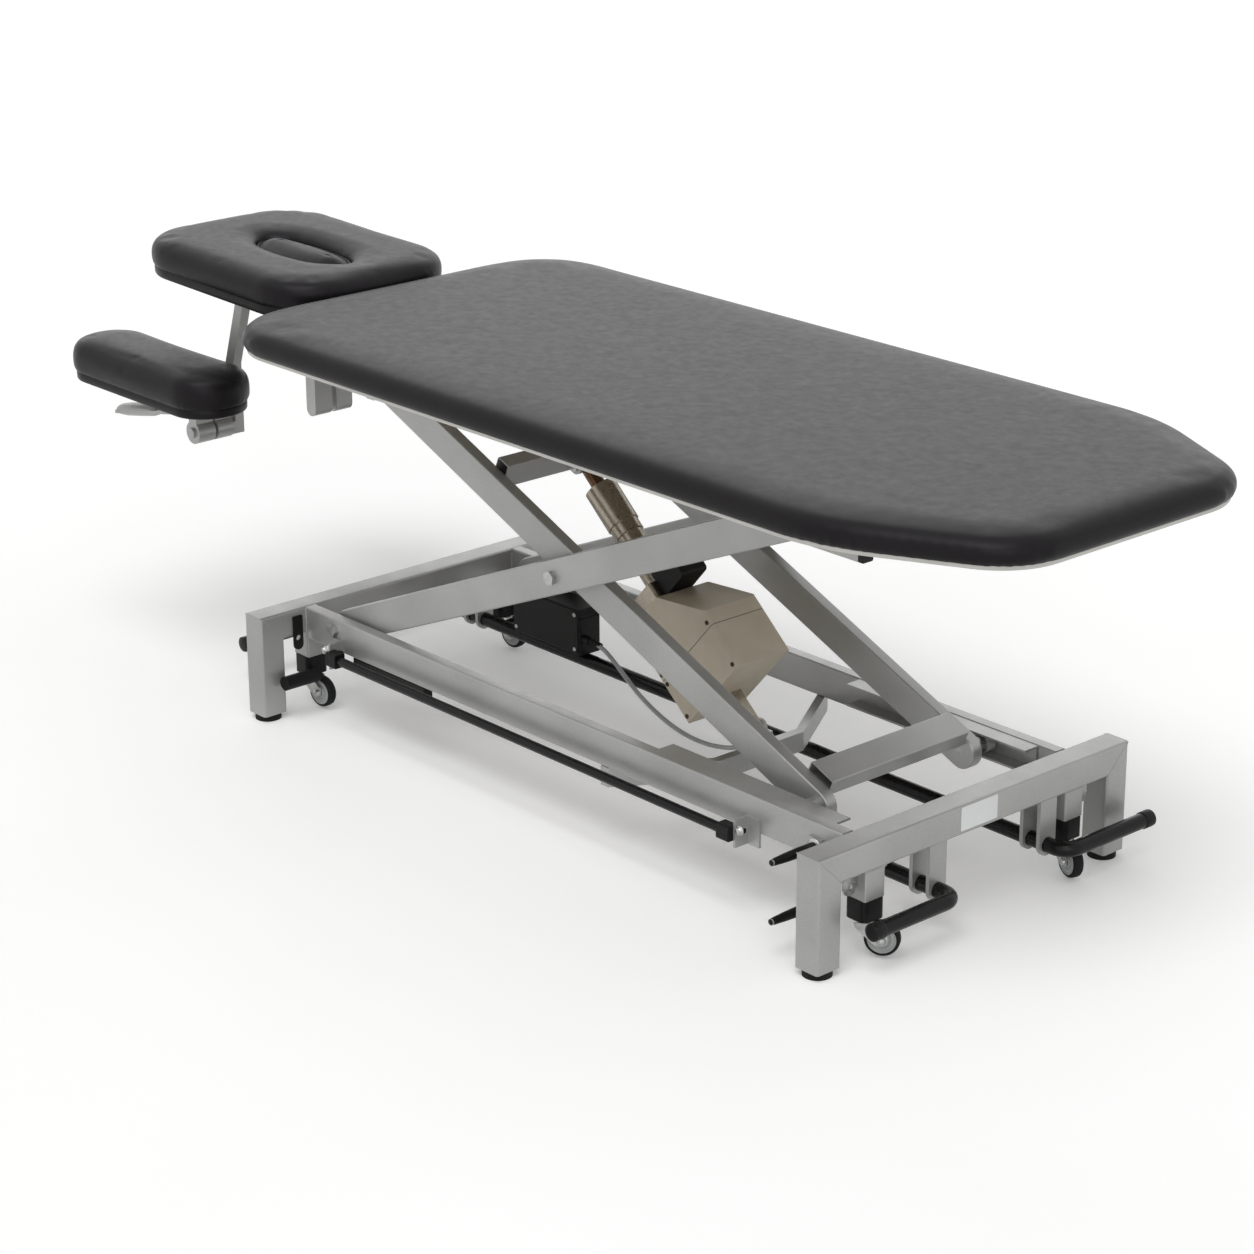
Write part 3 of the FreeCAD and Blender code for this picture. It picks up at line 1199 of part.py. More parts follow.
node(near_pedal(), "near_pedal")
node(far_pedal(), "far_pedal")


def leaf(place_x, place_y):
    half = s.hanger_leaf_wide / 2
    start = place_x - s.hanger_leaf / 2
    web = block((start, place_y - half, s.pedal_height),
                (s.hanger_leaf, s.hanger_leaf_wide, beam_bottom - s.pedal_height))
    nose = rod((start, place_y, s.pedal_height), "x", half, s.hanger_leaf)
    hole = rod((start - s.hanger_leaf, place_y, s.pedal_height), "x",
               s.pedal_radius + s.turn_play, 3 * s.hanger_leaf)
    return cut(fused(web, nose), hole)


leaves = [leaf(beam + step * s.hanger_leaf_pitch / 2, place_y)
          for beam, place_y in ((foot_beam_mid, -s.near_pedal_offset),
                                (foot_beam_mid, s.far_pedal_offset),
                                (head_beam_mid, s.far_pedal_offset))
          for step in (-1, 1)]
node(grouped(*leaves), "pedal_hangers")


# Foot bar along the near rail, its brackets and switch, and two pegs for winding the lead

bar_pin_y = -rail_outer - s.bar_tab_high / 4
bar_long = s.bar_head + s.bar_foot


def foot_bar():
    start = mid - s.bar_head
    tube = cut(rod((start, -s.bar_offset, s.bar_height), "x", s.bar_radius, bar_long),
               rod((start + s.bar_tab_thick, -s.bar_offset, s.bar_height), "x",
                   s.bar_radius - s.rail_wall, bar_long - 2 * s.bar_tab_thick))
    pieces = [tube]
    for place in (start, start + bar_long - s.bar_tab_thick):
        pieces.append(block((place, -s.bar_offset, s.bar_height - s.bar_radius),
                            (s.bar_tab_thick, s.bar_offset + bar_pin_y, 2 * s.bar_radius)))
        pieces.append(rod((place, bar_pin_y, s.bar_height), "x", s.bar_radius,
                          s.bar_tab_thick))
    pin_out = s.bar_tab_thick + s.side_play
    pieces.append(rod((start - pin_out, bar_pin_y, s.bar_height), "x", s.wheel_axle_radius,
                      pin_out + s.bar_tab_thick))
    pieces.append(rod((start + bar_long - s.bar_tab_thick, bar_pin_y, s.bar_height), "x",
                      s.wheel_axle_radius, pin_out + s.bar_tab_thick))
    return fused(*pieces)


def bar_tab(start, plate_start):
    tab = block((start, -rail_outer - s.bar_tab_wide, s.bar_height - s.bar_tab_high / 2),
                (s.bar_tab_thick, s.bar_tab_wide, s.bar_tab_high))
    plate = block((plate_start, -rail_outer - s.bar_tab_thick,
                   s.bar_height - s.bar_tab_high / 2),
                  (s.bar_tab_wide, s.bar_tab_thick, s.bar_tab_high))
    hole = rod((start - s.bar_tab_thick, bar_pin_y, s.bar_height), "x",
               s.wheel_axle_radius + s.turn_play, 3 * s.bar_tab_thick)
    return cut(fused(tab, plate), hole)


tab_head = mid - s.bar_head - s.side_play - s.bar_tab_thick
tab_foot = mid + s.bar_foot + s.side_play
switch = block((mid - s.switch_start, -rail_outer + s.rail_wall, rail_bottom - s.switch_high),
               (s.switch_long, s.switch_wide, s.switch_high))
node(foot_bar(), "foot_bar")
bar_tabs = [bar_tab(tab_head, tab_head + s.bar_tab_thick - s.bar_tab_wide),
            bar_tab(tab_foot, tab_foot)]
node(rounded(switch, s.rail_round, runs_along("x")), "foot_bar_switch")

peg_base = block((mid + s.peg_place - s.peg_plate_wide / 2, -rail_outer - s.peg_plate_thick,
                  s.peg_low - s.peg_plate_wide / 2),
                 (s.peg_plate_wide, s.peg_plate_thick,
                  s.peg_high - s.peg_low + s.peg_plate_wide))
pegs = [rod((mid + s.peg_place, -rail_outer - s.peg_plate_thick - s.peg_long, height), "y",
            s.peg_radius, s.peg_long) for height in (s.peg_low, s.peg_high)]
node(grouped(fused(peg_base, *pegs), *bar_tabs), "near_rail_brackets")


# Control box on the far rail and the motor lead that leaves it

def control_box():
    start = mid - s.box_start
    lid_bottom = s.box_bottom + s.box_high - s.box_lid_high
    tray = rounded(block((start, s.box_inner_edge, s.box_bottom),
                         (s.box_long, s.box_wide, s.box_high - s.box_lid_high)),
                   s.box_round, runs_along("z"))
    neck = block((start + s.box_round, s.box_inner_edge + s.box_round, lid_bottom - s.box_lid_gap),
                 (s.box_long - 2 * s.box_round, s.box_wide - 2 * s.box_round,
                  2 * s.box_lid_gap))
    lid = rounded(block((start, s.box_inner_edge, lid_bottom + s.box_lid_gap),
                        (s.box_long, s.box_wide, s.box_lid_high - s.box_lid_gap)),
                  s.box_round, runs_along("z"))
    strap_y = s.box_inner_edge + s.box_wide
    strap = block((start + s.box_long / 2 - s.box_strap_wide / 2, strap_y,
                   rail_bottom - s.box_strap_thick),
                  (s.box_strap_wide, rail_outer - strap_y, s.box_strap_thick))
    return [fused(tray, neck, lid), strap]


cable_out_x = mid - s.box_start + s.box_long
gland_one = rod((cable_out_x, s.box_inner_edge + s.cable_inset, s.cable_out_height), "x",
                s.gland_radius, s.gland_long)
member_face = mid + s.member_mid_run - s.member_thick / 2
gland_two = rod((member_face - s.gland_long, s.cable_in_offset, s.cable_in_height), "x",
                s.gland_radius, s.gland_long)
node(grouped(*control_box(), gland_one, gland_two), "control_box")

# Motor lead: points from the box to the cross-member, chosen by hand along its sag
cable_start = Vector(cable_out_x + s.gland_long, s.box_inner_edge + s.cable_inset,
                     s.cable_out_height)
cable_end = Vector(member_face - s.gland_long, s.cable_in_offset, s.cable_in_height)
cable_points = [cable_start] + [Vector(mid + x, y, z) for x, y, z in cable_route] + [cable_end]


def tube_along(points, radius):
    count = len(points)
    bends = []
    for place in range(1, count - 1):
        back = points[place - 1] - points[place]
        ahead = points[place + 1] - points[place]
        shorter = min(back.Length, ahead.Length)
        turn = math.pi - back.getAngle(ahead)
        reach = bend_share * shorter
        bend_radius = reach / math.tan(turn / 2)
        start = points[place] + back.normalize() * reach
        end = points[place] + ahead.normalize() * reach
        inward = (back + ahead).normalize()
        middle = points[place] + inward * (math.hypot(bend_radius, reach) - bend_radius)
        bends.append((start, middle, end))
        print("lead bend radius %.0f" % bend_radius)
    edges = []
    here = points[0]
    for start, middle, end in bends:
        edges.append(Part.LineSegment(here, start).toShape())
        edges.append(Part.Arc(start, middle, end).toShape())
        here = end
    edges.append(Part.LineSegment(here, points[-1]).toShape())
    path = Part.Wire(edges)
    ring_wire = Part.Wire(Part.makeCircle(radius, points[0], points[1] - points[0]))
    tube = path.makePipeShell([ring_wire], True, False)
    print("lead length %.0f, volume share %.4f"
          % (path.Length, tube.Volume / (math.pi * radius ** 2 * path.Length)))
    return tube


node(made(tube_along(cable_points, float(s.cable_radius))), "motor_lead")


# Check every piece, then write one file for each

doc.recompute()
for item in doc.Objects:
    if "Invalid" in item.State or "Error" in item.State:
        raise RuntimeError("failed: " + item.Label)
labels = [item.Label for item in nodes]
if len(set(labels)) != len(labels):
    raise RuntimeError("a name is used twice")
os.makedirs("parts", exist_ok=True)
for item in nodes:
    if item.Shape.isNull() or not item.Shape.isValid():
        raise RuntimeError("bad shape: " + item.Label)
    for solid in item.Shape.Solids:
        if solid.Volume <= 0:
            raise RuntimeError("empty solid: " + item.Label)
    item.Shape.exportStep("parts/" + item.Label + ".step")
whole = Part.makeCompound([item.Shape for item in nodes]).BoundBox
print("%d nodes, box %.1f %.1f %.1f to %.1f %.1f %.1f"
      % (len(nodes), whole.XMin, whole.YMin, whole.ZMin, whole.XMax, whole.YMax, whole.ZMax))
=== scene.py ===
import bmesh
import bpy
import json
import math
from mathutils import Matrix, Vector


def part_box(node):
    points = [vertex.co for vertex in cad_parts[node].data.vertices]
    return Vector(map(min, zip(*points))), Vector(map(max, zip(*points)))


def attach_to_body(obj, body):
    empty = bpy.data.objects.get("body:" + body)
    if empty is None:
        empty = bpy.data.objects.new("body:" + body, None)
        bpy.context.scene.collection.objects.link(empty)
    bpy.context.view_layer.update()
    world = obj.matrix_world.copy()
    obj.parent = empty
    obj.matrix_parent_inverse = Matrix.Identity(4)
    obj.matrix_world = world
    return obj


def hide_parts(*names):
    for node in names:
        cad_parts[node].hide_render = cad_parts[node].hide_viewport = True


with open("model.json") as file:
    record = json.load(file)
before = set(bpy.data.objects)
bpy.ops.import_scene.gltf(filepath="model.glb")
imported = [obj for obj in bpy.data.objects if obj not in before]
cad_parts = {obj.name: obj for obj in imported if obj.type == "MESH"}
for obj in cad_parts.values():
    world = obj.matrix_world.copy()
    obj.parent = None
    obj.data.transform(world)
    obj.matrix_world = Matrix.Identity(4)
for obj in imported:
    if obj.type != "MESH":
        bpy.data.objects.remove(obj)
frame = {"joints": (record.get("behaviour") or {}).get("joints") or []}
scene = bpy.context.scene
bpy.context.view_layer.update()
jointOf = {item["name"]: item for item in frame["joints"]}
mm = 0.001


def pivot(name):
    return Vector(jointOf[name]["pos_m"])


def setAll(item, **values):
    for name, value in values.items():
        setattr(item, name, value)
    return item


# Shader nodes

def linear(hexText):  # sRGB hex to the linear colour that a shader takes
    parts = [int(hexText[place:place + 2], 16) / 255 for place in (1, 3, 5)]
    return tuple(p / 12.92 if p <= 0.04045 else ((p + 0.055) / 1.055) ** 2.4 for p in parts) + (1,)


def feed(tree, item, inputs):  # links a socket to an input, or sets a plain value
    for socket, value in inputs.items():
        if isinstance(value, bpy.types.NodeSocket):
            tree.links.new(value, item.inputs[socket])
        else:
            item.inputs[socket].default_value = value
    return item


def addNode(tree, kind, inputs=None, **settings):
    return feed(tree, setAll(tree.nodes.new(kind), **settings), inputs or {})


noiseSpan = (0.3, 0.7)  # nearly all of a noise lies between these


def makeFinish(name, look):
    # tone, flake, wear and relief are noises, given as size in metres, detail and roughness: tone
    # runs from one colour to the other, wear between two values of roughness, relief is the bump
    made = bpy.data.materials.new(name)
    made.use_nodes = True
    tree = made.node_tree
    place = addNode(tree, "ShaderNodeTexCoord").outputs["Object"]
    if "stretch" in look:
        place = addNode(tree, "ShaderNodeMapping",
                        {"Vector": place, "Scale": look["stretch"]}).outputs[0]
    noise = {}
    for part in ("tone", "flake", "wear", "relief"):
        if part in look:
            size, detail, lumps = look[part]
            noise[part] = addNode(tree, "ShaderNodeTexNoise",
                                  {"Vector": place, "Scale": 1 / size, "Detail": detail,
                                   "Roughness": lumps}).outputs["Fac"]
    tone, span = noise["tone"], noiseSpan
    if "flake" in look:  # the flake's own mean is a half
        tone = addNode(tree, "ShaderNodeMath", {0: tone, 1: noise["flake"]},
                       operation="ADD").outputs[0]
        span = [edge + 0.5 for edge in noiseSpan]
    share = addNode(tree, "ShaderNodeMapRange",
                    {"Value": tone, "From Min": span[0], "From Max": span[1]}).outputs["Result"]
    dark, light = look["tones"]
    colour = addNode(tree, "ShaderNodeMix", {"Factor": share, 6: linear(dark), 7: linear(light)},
                     data_type="RGBA").outputs[2]
    skin = {"Base Color": colour, **look["plain"]}
    if "wear" in look:
        low, high = look["rough"]
        skin["Roughness"] = addNode(tree, "ShaderNodeMapRange",
                                    {"Value": noise["wear"], "From Min": noiseSpan[0],
                                     "From Max": noiseSpan[1], "To Min": low,
                                     "To Max": high}).outputs["Result"]
    height = noise.get("relief")
    if "lines" in look:  # turning lines across the slide of the actuator's rod
        across = addNode(tree, "ShaderNodeMapping", {"Vector": place, "Rotation": acrossSlide})
        height = addNode(tree, "ShaderNodeTexWave",
                         {"Vector": across.outputs[0], "Scale": 1 / (2 * math.pi * look["lines"]),
                          "Distortion": 0.6, "Detail": 2}, bands_direction="X").outputs["Fac"]
    if height:
        skin["Normal"] = addNode(tree, "ShaderNodeBump",
                                 {"Height": height, "Distance": look["depth"],
                                  "Strength": 1.0}).outputs["Normal"]
    if "grain" in look:
        grain = look["grain"]
        cells = addNode(tree, "ShaderNodeTexVoronoi", {"Vector": place, "Scale": 1 / grain["size"]},
                        feature="DISTANCE_TO_EDGE").outputs["Distance"]
        edge = addNode(tree, "ShaderNodeMapRange", {"Value": cells, "From Max": grain["edgeShare"]})
        skin["Normal"] = addNode(tree, "ShaderNodeBump",
                                 {"Height": edge.outputs["Result"], "Distance": grain["depth"],
                                  "Strength": grain["strength"],
                                  "Normal": skin["Normal"]}).outputs["Normal"]
    feed(tree, tree.nodes["Principled BSDF"], skin)
    return made


# Finishes, each from what the real one is

slideAxis = Vector(jointOf["rod_slide"]["axis"])
acrossSlide = (0, -math.atan2(slideAxis.z, -slideAxis.x), 0)
roughSwing = 0.05


def makeMoulded(name, dark, light, rough, grit, depth, shine=0.5):
    # moulded plastic with a spark-eroded skin: even colour, a fine matt grit
    return makeFinish(name, {
        "tones": (dark, light), "tone": (60 * mm, 3, 0.5), "wear": (grit * 6, 3, 0.5),
        "rough": (rough - roughSwing, rough + roughSwing), "relief": (grit, 2, 0.6),
        "depth": depth, "plain": {"Specular IOR Level": shine}})


def makeMetal(name, dark, light, rough, spacing=None):
    # bare or plated metal: bright and slightly clouded, with fine lines where it was turned
    relief = {"relief": (1.5 * mm, 3, 0.5), "depth": 0.01 * mm}
    if spacing:
        relief = {"lines": spacing, "depth": 0.002 * mm}
    return makeFinish(name, {
        "tones": (dark, light), "tone": (9 * mm, 4, 0.5), "wear": (6 * mm, 2, 0.5),
        "rough": (rough - roughSwing, rough + roughSwing), "plain": {"Metallic": 1.0}, **relief})


# silver powder coat on welded tube: satin, a fine orange peel, and metal flake that is drawn
# coarser than the real one, so that it shows
silverPaint = makeFinish("silverPaint", {
    "tones": ("#9D9D9B", "#AEAEAC"), "tone": (180 * mm, 2, 0.5), "flake": (1.1 * mm, 2, 0.7),
    "wear": (35 * mm, 4, 0.6), "rough": (0.31, 0.41), "relief": (3 * mm, 1, 0.5),
    "depth": 0.015 * mm, "plain": {"Metallic": 0.5}})
# upholstery vinyl, calendered and embossed with a fine grain: soft satin over slow waves
vinyl = makeFinish("blackVinyl", {
    "tones": ("#0E0D0E", "#141314"), "tone": (90 * mm, 3, 0.5), "wear": (14 * mm, 4, 0.65),
    "rough": (0.34, 0.42), "relief": (45 * mm, 2, 0.5), "depth": 0.5 * mm,
    "grain": {"size": 1.6 * mm, "edgeShare": 0.12, "depth": 0.035 * mm, "strength": 0.8},
    "plain": {"IOR": 1.38, "Specular IOR Level": 0.3, "Specular Tint": linear("#F4ECF4")}})
# black powder coat on bent tube: gloss with a faint peel, dusty in places
glossBlack = makeFinish("glossBlackPaint", {
    "tones": ("#080808", "#0E0D0E"), "tone": (40 * mm, 3, 0.5), "wear": (18 * mm, 4, 0.5),
    "rough": (0.18, 0.34), "relief": (3 * mm, 2, 0.5), "depth": 0.04 * mm,
    "plain": {"Specular IOR Level": 0.22}})
# sanded birch plywood: long pale grain
plywood = makeFinish("birchPlywood", {
    "tones": ("#9C9384", "#B7AEA0"), "stretch": (0.06, 1, 1), "tone": (7 * mm, 5, 0.6),
    "relief": (7 * mm, 5, 0.6), "depth": 0.1 * mm, "plain": {"Roughness": 0.68}})
beigeAbs = makeMoulded("beigeAbs", "#BDB19D", "#CAC0AD", 0.44, 0.9 * mm, 0.03 * mm)
blackNylon = makeMoulded("blackNylon", "#0D0D0D", "#131313", 0.46, 0.8 * mm, 0.04 * mm, 0.2)
blackRubber = makeMoulded("blackRubber", "#0E0E0E", "#161616", 0.75, 1.2 * mm, 0.06 * mm, 0.25)
hubNylon = makeMoulded("greyNylon", "#A2A4A4", "#B1B3B3", 0.38, 0.8 * mm, 0.03 * mm)
leadPvc = makeMoulded("greyPvc", "#9B9C9E", "#A9AAAC", 0.5, 1.0 * mm, 0.02 * mm)
labelFilm = makeMoulded("whiteFilm", "#DADDDD", "#E6E9E8", 0.35, 2.0 * mm, 0.01 * mm)
edgeBand = makeMoulded("edgeBand", "#BDBBB6", "#CAC8C3", 0.5, 1.5 * mm, 0.02 * mm)
zinc = makeMetal("zincPlate", "#9FA19F", "#BEBFBD", 0.30)
brightSteel = makeMetal("drawnSteel", "#9A9184", "#A69D8F", 0.30, 1.2 * mm)
bronze = makeMetal("brownedRod", "#5C4536", "#6C5343", 0.33, 1.0 * mm)
brownedGear = makeMetal("castGearCase", "#3B302A", "#54463D", 0.42)
print("finishes made")


# Objects and meshes

def linked(name, data):  # a new object in the scene
    made = bpy.data.objects.new(name, data)
    scene.collection.objects.link(made)
    return made


def smoothed(mesh, smooth=True):
    for face in mesh.polygons:
        face.use_smooth = smooth


def addMesh(name, points, faces, finish, smooth=True):
    mesh = bpy.data.meshes.new(name)
    mesh.from_pydata([tuple(point) for point in points], [], faces)
    mesh.materials.append(finish)
    smoothed(mesh, smooth)
    return linked(name, mesh)


def fix(piece):  # merges doubles and turns every face outwards
    work = bmesh.new()
    work.from_mesh(piece.data)
    bmesh.ops.remove_doubles(work, verts=work.verts, dist=0.01 * mm)
    bmesh.ops.recalc_face_normals(work, faces=work.faces)
    work.to_mesh(piece.data)
    work.free()
    return piece


def evaluated(piece):  # the mesh that the piece's modifiers give
    graph = bpy.context.evaluated_depsgraph_get()
    return bpy.data.meshes.new_from_object(piece.evaluated_get(graph))


def asMesh(source):  # the evaluated result as a plain mesh object in the source's place
    mesh, name = evaluated(source), source.name
    bpy.data.objects.remove(source)
    return linked(name, mesh)


def baked(piece):  # the evaluated mesh in place of the modifiers
    mesh = evaluated(piece)
    piece.modifiers.clear()
    piece.data = mesh
    return piece


def applied(piece, kind, **settings):  # one modifier, made part of the mesh
    setAll(piece.modifiers.new(kind.lower(), kind), **settings)
    return baked(piece)


def mounted(piece, body):  # attaches the piece to its body
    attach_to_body(piece, body)
    return piece


def frameOf(origin, along, upish=(0, 0, 1)):  # a matrix whose X runs along, with Z close to upish
    xAxis = Vector(along).normalized()
    yAxis = Vector(upish).cross(xAxis).normalized()
    axes = Matrix((xAxis, yAxis, xAxis.cross(yAxis))).transposed().to_4x4()
    return Matrix.Translation(Vector(origin)) @ axes


def stretched(name, rings, finish, smooth=True, wrap=False, capped=False):
    # faces between rings of as many points each; wrap closes the last ring on the first
    count = len(rings[0])
    points = [point for ring in rings for point in ring]
    faces = []
    for row in range(len(rings) if wrap else len(rings) - 1):
        here, there = row * count, (row + 1) % len(rings) * count
        for step in range(count):
            beside = (step + 1) % count
            faces.append((here + step, here + beside, there + beside, there + step))
    if capped:
        faces.append(tuple(range(count - 1, -1, -1)))
        faces.append(tuple(range(len(points) - count, len(points))))
    return fix(addMesh(name, points, faces, finish, smooth))


def circle(steps):
    return [(math.cos(2 * math.pi * step / steps), math.sin(2 * math.pi * step / steps))
            for step in range(steps)]


def lathe(name, profile, place, finish, steps=48):
    # turns (distance along, radius) pairs about the X axis of the matrix place
    return stretched(name, [[place @ Vector((along, radius * x, radius * y))
                             for x, y in circle(steps)] for along, radius in profile], finish)


def loft(name, rings, place, finish, holed=False, smooth=True):
    # rings of (points, height), capped, or closed from the last ring back to the first
    return stretched(name, [[place @ Vector((*spot, height)) for spot in ring]
                            for ring, height in rings], finish, smooth, holed, not holed)


def cornerArcs(outline, inset=0.0):  # an outline is its corners and their radii
    # centre, radius, first angle and turn of each rounded corner, with the outline drawn in by inset
    corners, radii = [Vector(corner) for corner in outline[0]], outline[1]
    sides = []
    for place, corner in enumerate(corners):
        along = (corners[(place + 1) % len(corners)] - corner).normalized()
        sides.append((corner + Vector((-along.y, along.x)) * inset, along))
    arcs = []
    for place in range(len(corners)):
        (baseA, alongA), (baseB, alongB) = sides[place - 1], sides[place]
        cross = alongA.x * alongB.y - alongA.y * alongB.x
        gap = baseB - baseA
        corner = baseA + alongA * ((gap.x * alongB.y - gap.y * alongB.x) / cross)
        turn = math.atan2(cross, alongA.dot(alongB))
        radius = max(radii[place] - inset, 0.2 * mm)
        start = corner - alongA * radius * math.tan(turn / 2)
        centre = start + Vector((-alongA.y, alongA.x)) * radius
        arcs.append((centre, radius, math.atan2(start.y - centre.y, start.x - centre.x), turn))
    return arcs


def outlinePoints(outline, inset, step, like=None):
    # points round an outline with rounded corners; their count doesn't depend on inset, and like
    # gives another outline for the count
    countCorners, countRadii = like or outline
    countCorners = [Vector(corner) for corner in countCorners]
    arcs = cornerArcs(outline, inset)
    count = len(arcs)
    points = []
    for place, (centre, radius, first, turn) in enumerate(arcs):
        steps = max(3, round(countRadii[place] * turn / step))
        for part in range(steps + 1):
            angle = first + turn * part / steps
            points.append(centre + Vector((math.cos(angle), math.sin(angle))) * radius)
        nextCentre, nextRadius, nextFirst, nextTurn = arcs[(place + 1) % count]
        goal = nextCentre + Vector((math.cos(nextFirst), math.sin(nextFirst))) * nextRadius
        here = points[-1]
        full = (countCorners[(place + 1) % count] - countCorners[place]).length
        runs = max(1, round(full / step / 2))
        points += [here.lerp(goal, part / runs) for part in range(1, runs)]
    return points


def rectangle(middleX, middleY, length, width):
    return [(middleX + x * length / 2, middleY + y * width / 2)
            for x, y in ((-1, -1), (1, -1), (1, 1), (-1, 1))]


def rounded(middleX, middleY, length, width, radius):
    return rectangle(middleX, middleY, length, width), [radius] * 4


def turned(name, origin, along, profile, finish, body, steps=40):
    # a turned piece from (along, radius) pairs in millimetres
    upish = (1, 0, 0) if abs(Vector(along).normalized().z) > 0.9 else (0, 0, 1)
    pairs = [(reach * mm, radius * mm) for reach, radius in profile]
    made = lathe(name, pairs, frameOf(origin, along, upish), finish, steps)
    return mounted(made, body)


def edging(name, outline, sections, step, place, finish, body, holed=True, smooth=True):
    # a ring round an outline, its sections given as (inset, height) pairs
    rings = [(outlinePoints(outline, inset, step), height) for inset, height in sections]
    return mounted(loft(name, rings, place, finish, holed, smooth), body)


def plate(name, outline, thick, place, finish, body, edge=0.3 * mm, step=2 * mm):
    # a flat plate with broken edges, from z 0 to thick in its own frame
    sections = ((edge, 0.0), (0.0, edge), (0.0, thick - edge), (edge, thick))
    return edging(name, outline, sections, step, place, finish, body, False, False)


def makeCurve(name, paths, kind="POLY"):  # paths are points, closed or not, and a radius share
    curve = bpy.data.curves.new(name, "CURVE")
    curve.dimensions = "3D"
    for points, closed, *radiusShare in paths:
        spline = curve.splines.new(kind)
        spline.points.add(len(points) - 1)
        for item, point in zip(spline.points, points):
            item.co = (*point, 1)
            item.radius = radiusShare[0] if radiusShare else 1
        spline.use_cyclic_u = closed
    return linked(name, curve)


def tube(name, paths, radius, finish, sides):  # round bars along the paths
    source = makeCurve(name, paths)
    setAll(source.data, bevel_depth=radius, bevel_resolution=sides // 2 - 1, use_fill_caps=True)
    source.data.materials.append(finish)
    made = asMesh(source)
    smoothed(made.data)
    return made


# Geometry Nodes: a model on each point or along a path, and smooth shading of the CAD pieces

def socketId(tree, name):
    return next(item.identifier for item in tree.interface.items_tree
                if item.name == name and item.in_out == "INPUT")


def startTree(name, **inputs):
    tree = bpy.data.node_groups.new(name, "GeometryNodeTree")
    tree.interface.new_socket("Geometry", in_out="INPUT", socket_type="NodeSocketGeometry")
    for label, kind in inputs.items():
        tree.interface.new_socket(label, in_out="INPUT", socket_type="NodeSocket" + kind)
    tree.interface.new_socket("Geometry", in_out="OUTPUT", socket_type="NodeSocketGeometry")
    return tree, addNode(tree, "NodeGroupInput").outputs


def makeRepeatTree(name, onPath):
    # a model on each point with its Z along the point's aim, or along a path with its X along it
    tree, given = startTree(name, Model="Object", Spacing="Float", Size="Float",
                            Finish="Material")
    if onPath:
        spots = addNode(tree, "GeometryNodeResampleCurve",
                        {"Curve": given["Geometry"], "Length": given["Spacing"]}, mode="LENGTH")
        aim = addNode(tree, "GeometryNodeInputTangent").outputs[0]
    else:
        spots = addNode(tree, "GeometryNodeMeshToPoints", {"Mesh": given["Geometry"]})
        aim = addNode(tree, "GeometryNodeInputNamedAttribute", {"Name": "aim"},
                      data_type="FLOAT_VECTOR").outputs[0]
    facing = addNode(tree, "FunctionNodeAlignEulerToVector", {"Vector": aim},
                     axis="X" if onPath else "Z")
    model = addNode(tree, "GeometryNodeObjectInfo", {"Object": given["Model"]})
    copies = addNode(tree, "GeometryNodeInstanceOnPoints",
                     {"Points": spots.outputs[0], "Instance": model.outputs["Geometry"],
                      "Rotation": facing.outputs[0], "Scale": given["Size"]})
    real = addNode(tree, "GeometryNodeRealizeInstances", {"Geometry": copies.outputs[0]})
    shaded = addNode(tree, "GeometryNodeSetMaterial",
                     {"Geometry": real.outputs[0], "Material": given["Finish"]})
    addNode(tree, "NodeGroupOutput", {0: shaded.outputs[0]})
    return tree


def makeTidyTree():  # joins a CAD node's loose triangles and shades it smooth under an angle
    tree, given = startTree("tidyShading", Angle="Float", Reach="Float")
    whole = addNode(tree, "GeometryNodeMergeByDistance",
                    {"Geometry": given["Geometry"], "Distance": given["Reach"]})
    fold = addNode(tree, "GeometryNodeInputMeshEdgeAngle").outputs["Unsigned Angle"]
    soft = addNode(tree, "FunctionNodeCompare", {0: fold, 1: given["Angle"]},
                   data_type="FLOAT", operation="LESS_THAN")
    faces = addNode(tree, "GeometryNodeSetShadeSmooth", {0: whole.outputs[0]}, domain="FACE")
    edged = addNode(tree, "GeometryNodeSetShadeSmooth",
                    {0: faces.outputs[0], "Shade Smooth": soft.outputs[0]}, domain="EDGE")
    addNode(tree, "NodeGroupOutput", {0: edged.outputs[0]})
    return tree


placeTree = makeRepeatTree("placeModels", False)
followTree = makeRepeatTree("followPath", True)
tidyTree = makeTidyTree()


def attach(piece, tree, **values):
    modifier = piece.modifiers.new("tree", "NODES")
    modifier.node_group = tree
    for label, value in values.items():
        modifier[socketId(tree, label)] = value
    return piece


def placeModels(name, spots, model, finish):  # spots are (point, aim) pairs
    source = addMesh(name, [spot for spot, aim in spots], [], finish)
    aims = source.data.attributes.new("aim", "FLOAT_VECTOR", "POINT")
    for item, (spot, aim) in zip(aims.data, spots):
        item.vector = aim
    return asMesh(attach(source, placeTree, Model=model, Spacing=0.0, Size=1.0, Finish=finish))


def followPaths(name, paths, model, finish, spacing):  # paths are (points, closed) pairs
    return asMesh(attach(makeCurve(name, paths), followTree, Model=model, Spacing=spacing,
                         Size=1.0, Finish=finish))


def asModel(piece):  # kept for the trees alone, out of the scene
    scene.collection.objects.unlink(piece)
    return piece


# Where the main lines of the frame lie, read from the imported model

def spanOf(name):
    low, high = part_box(name)
    return low, high, (low + high) / 2


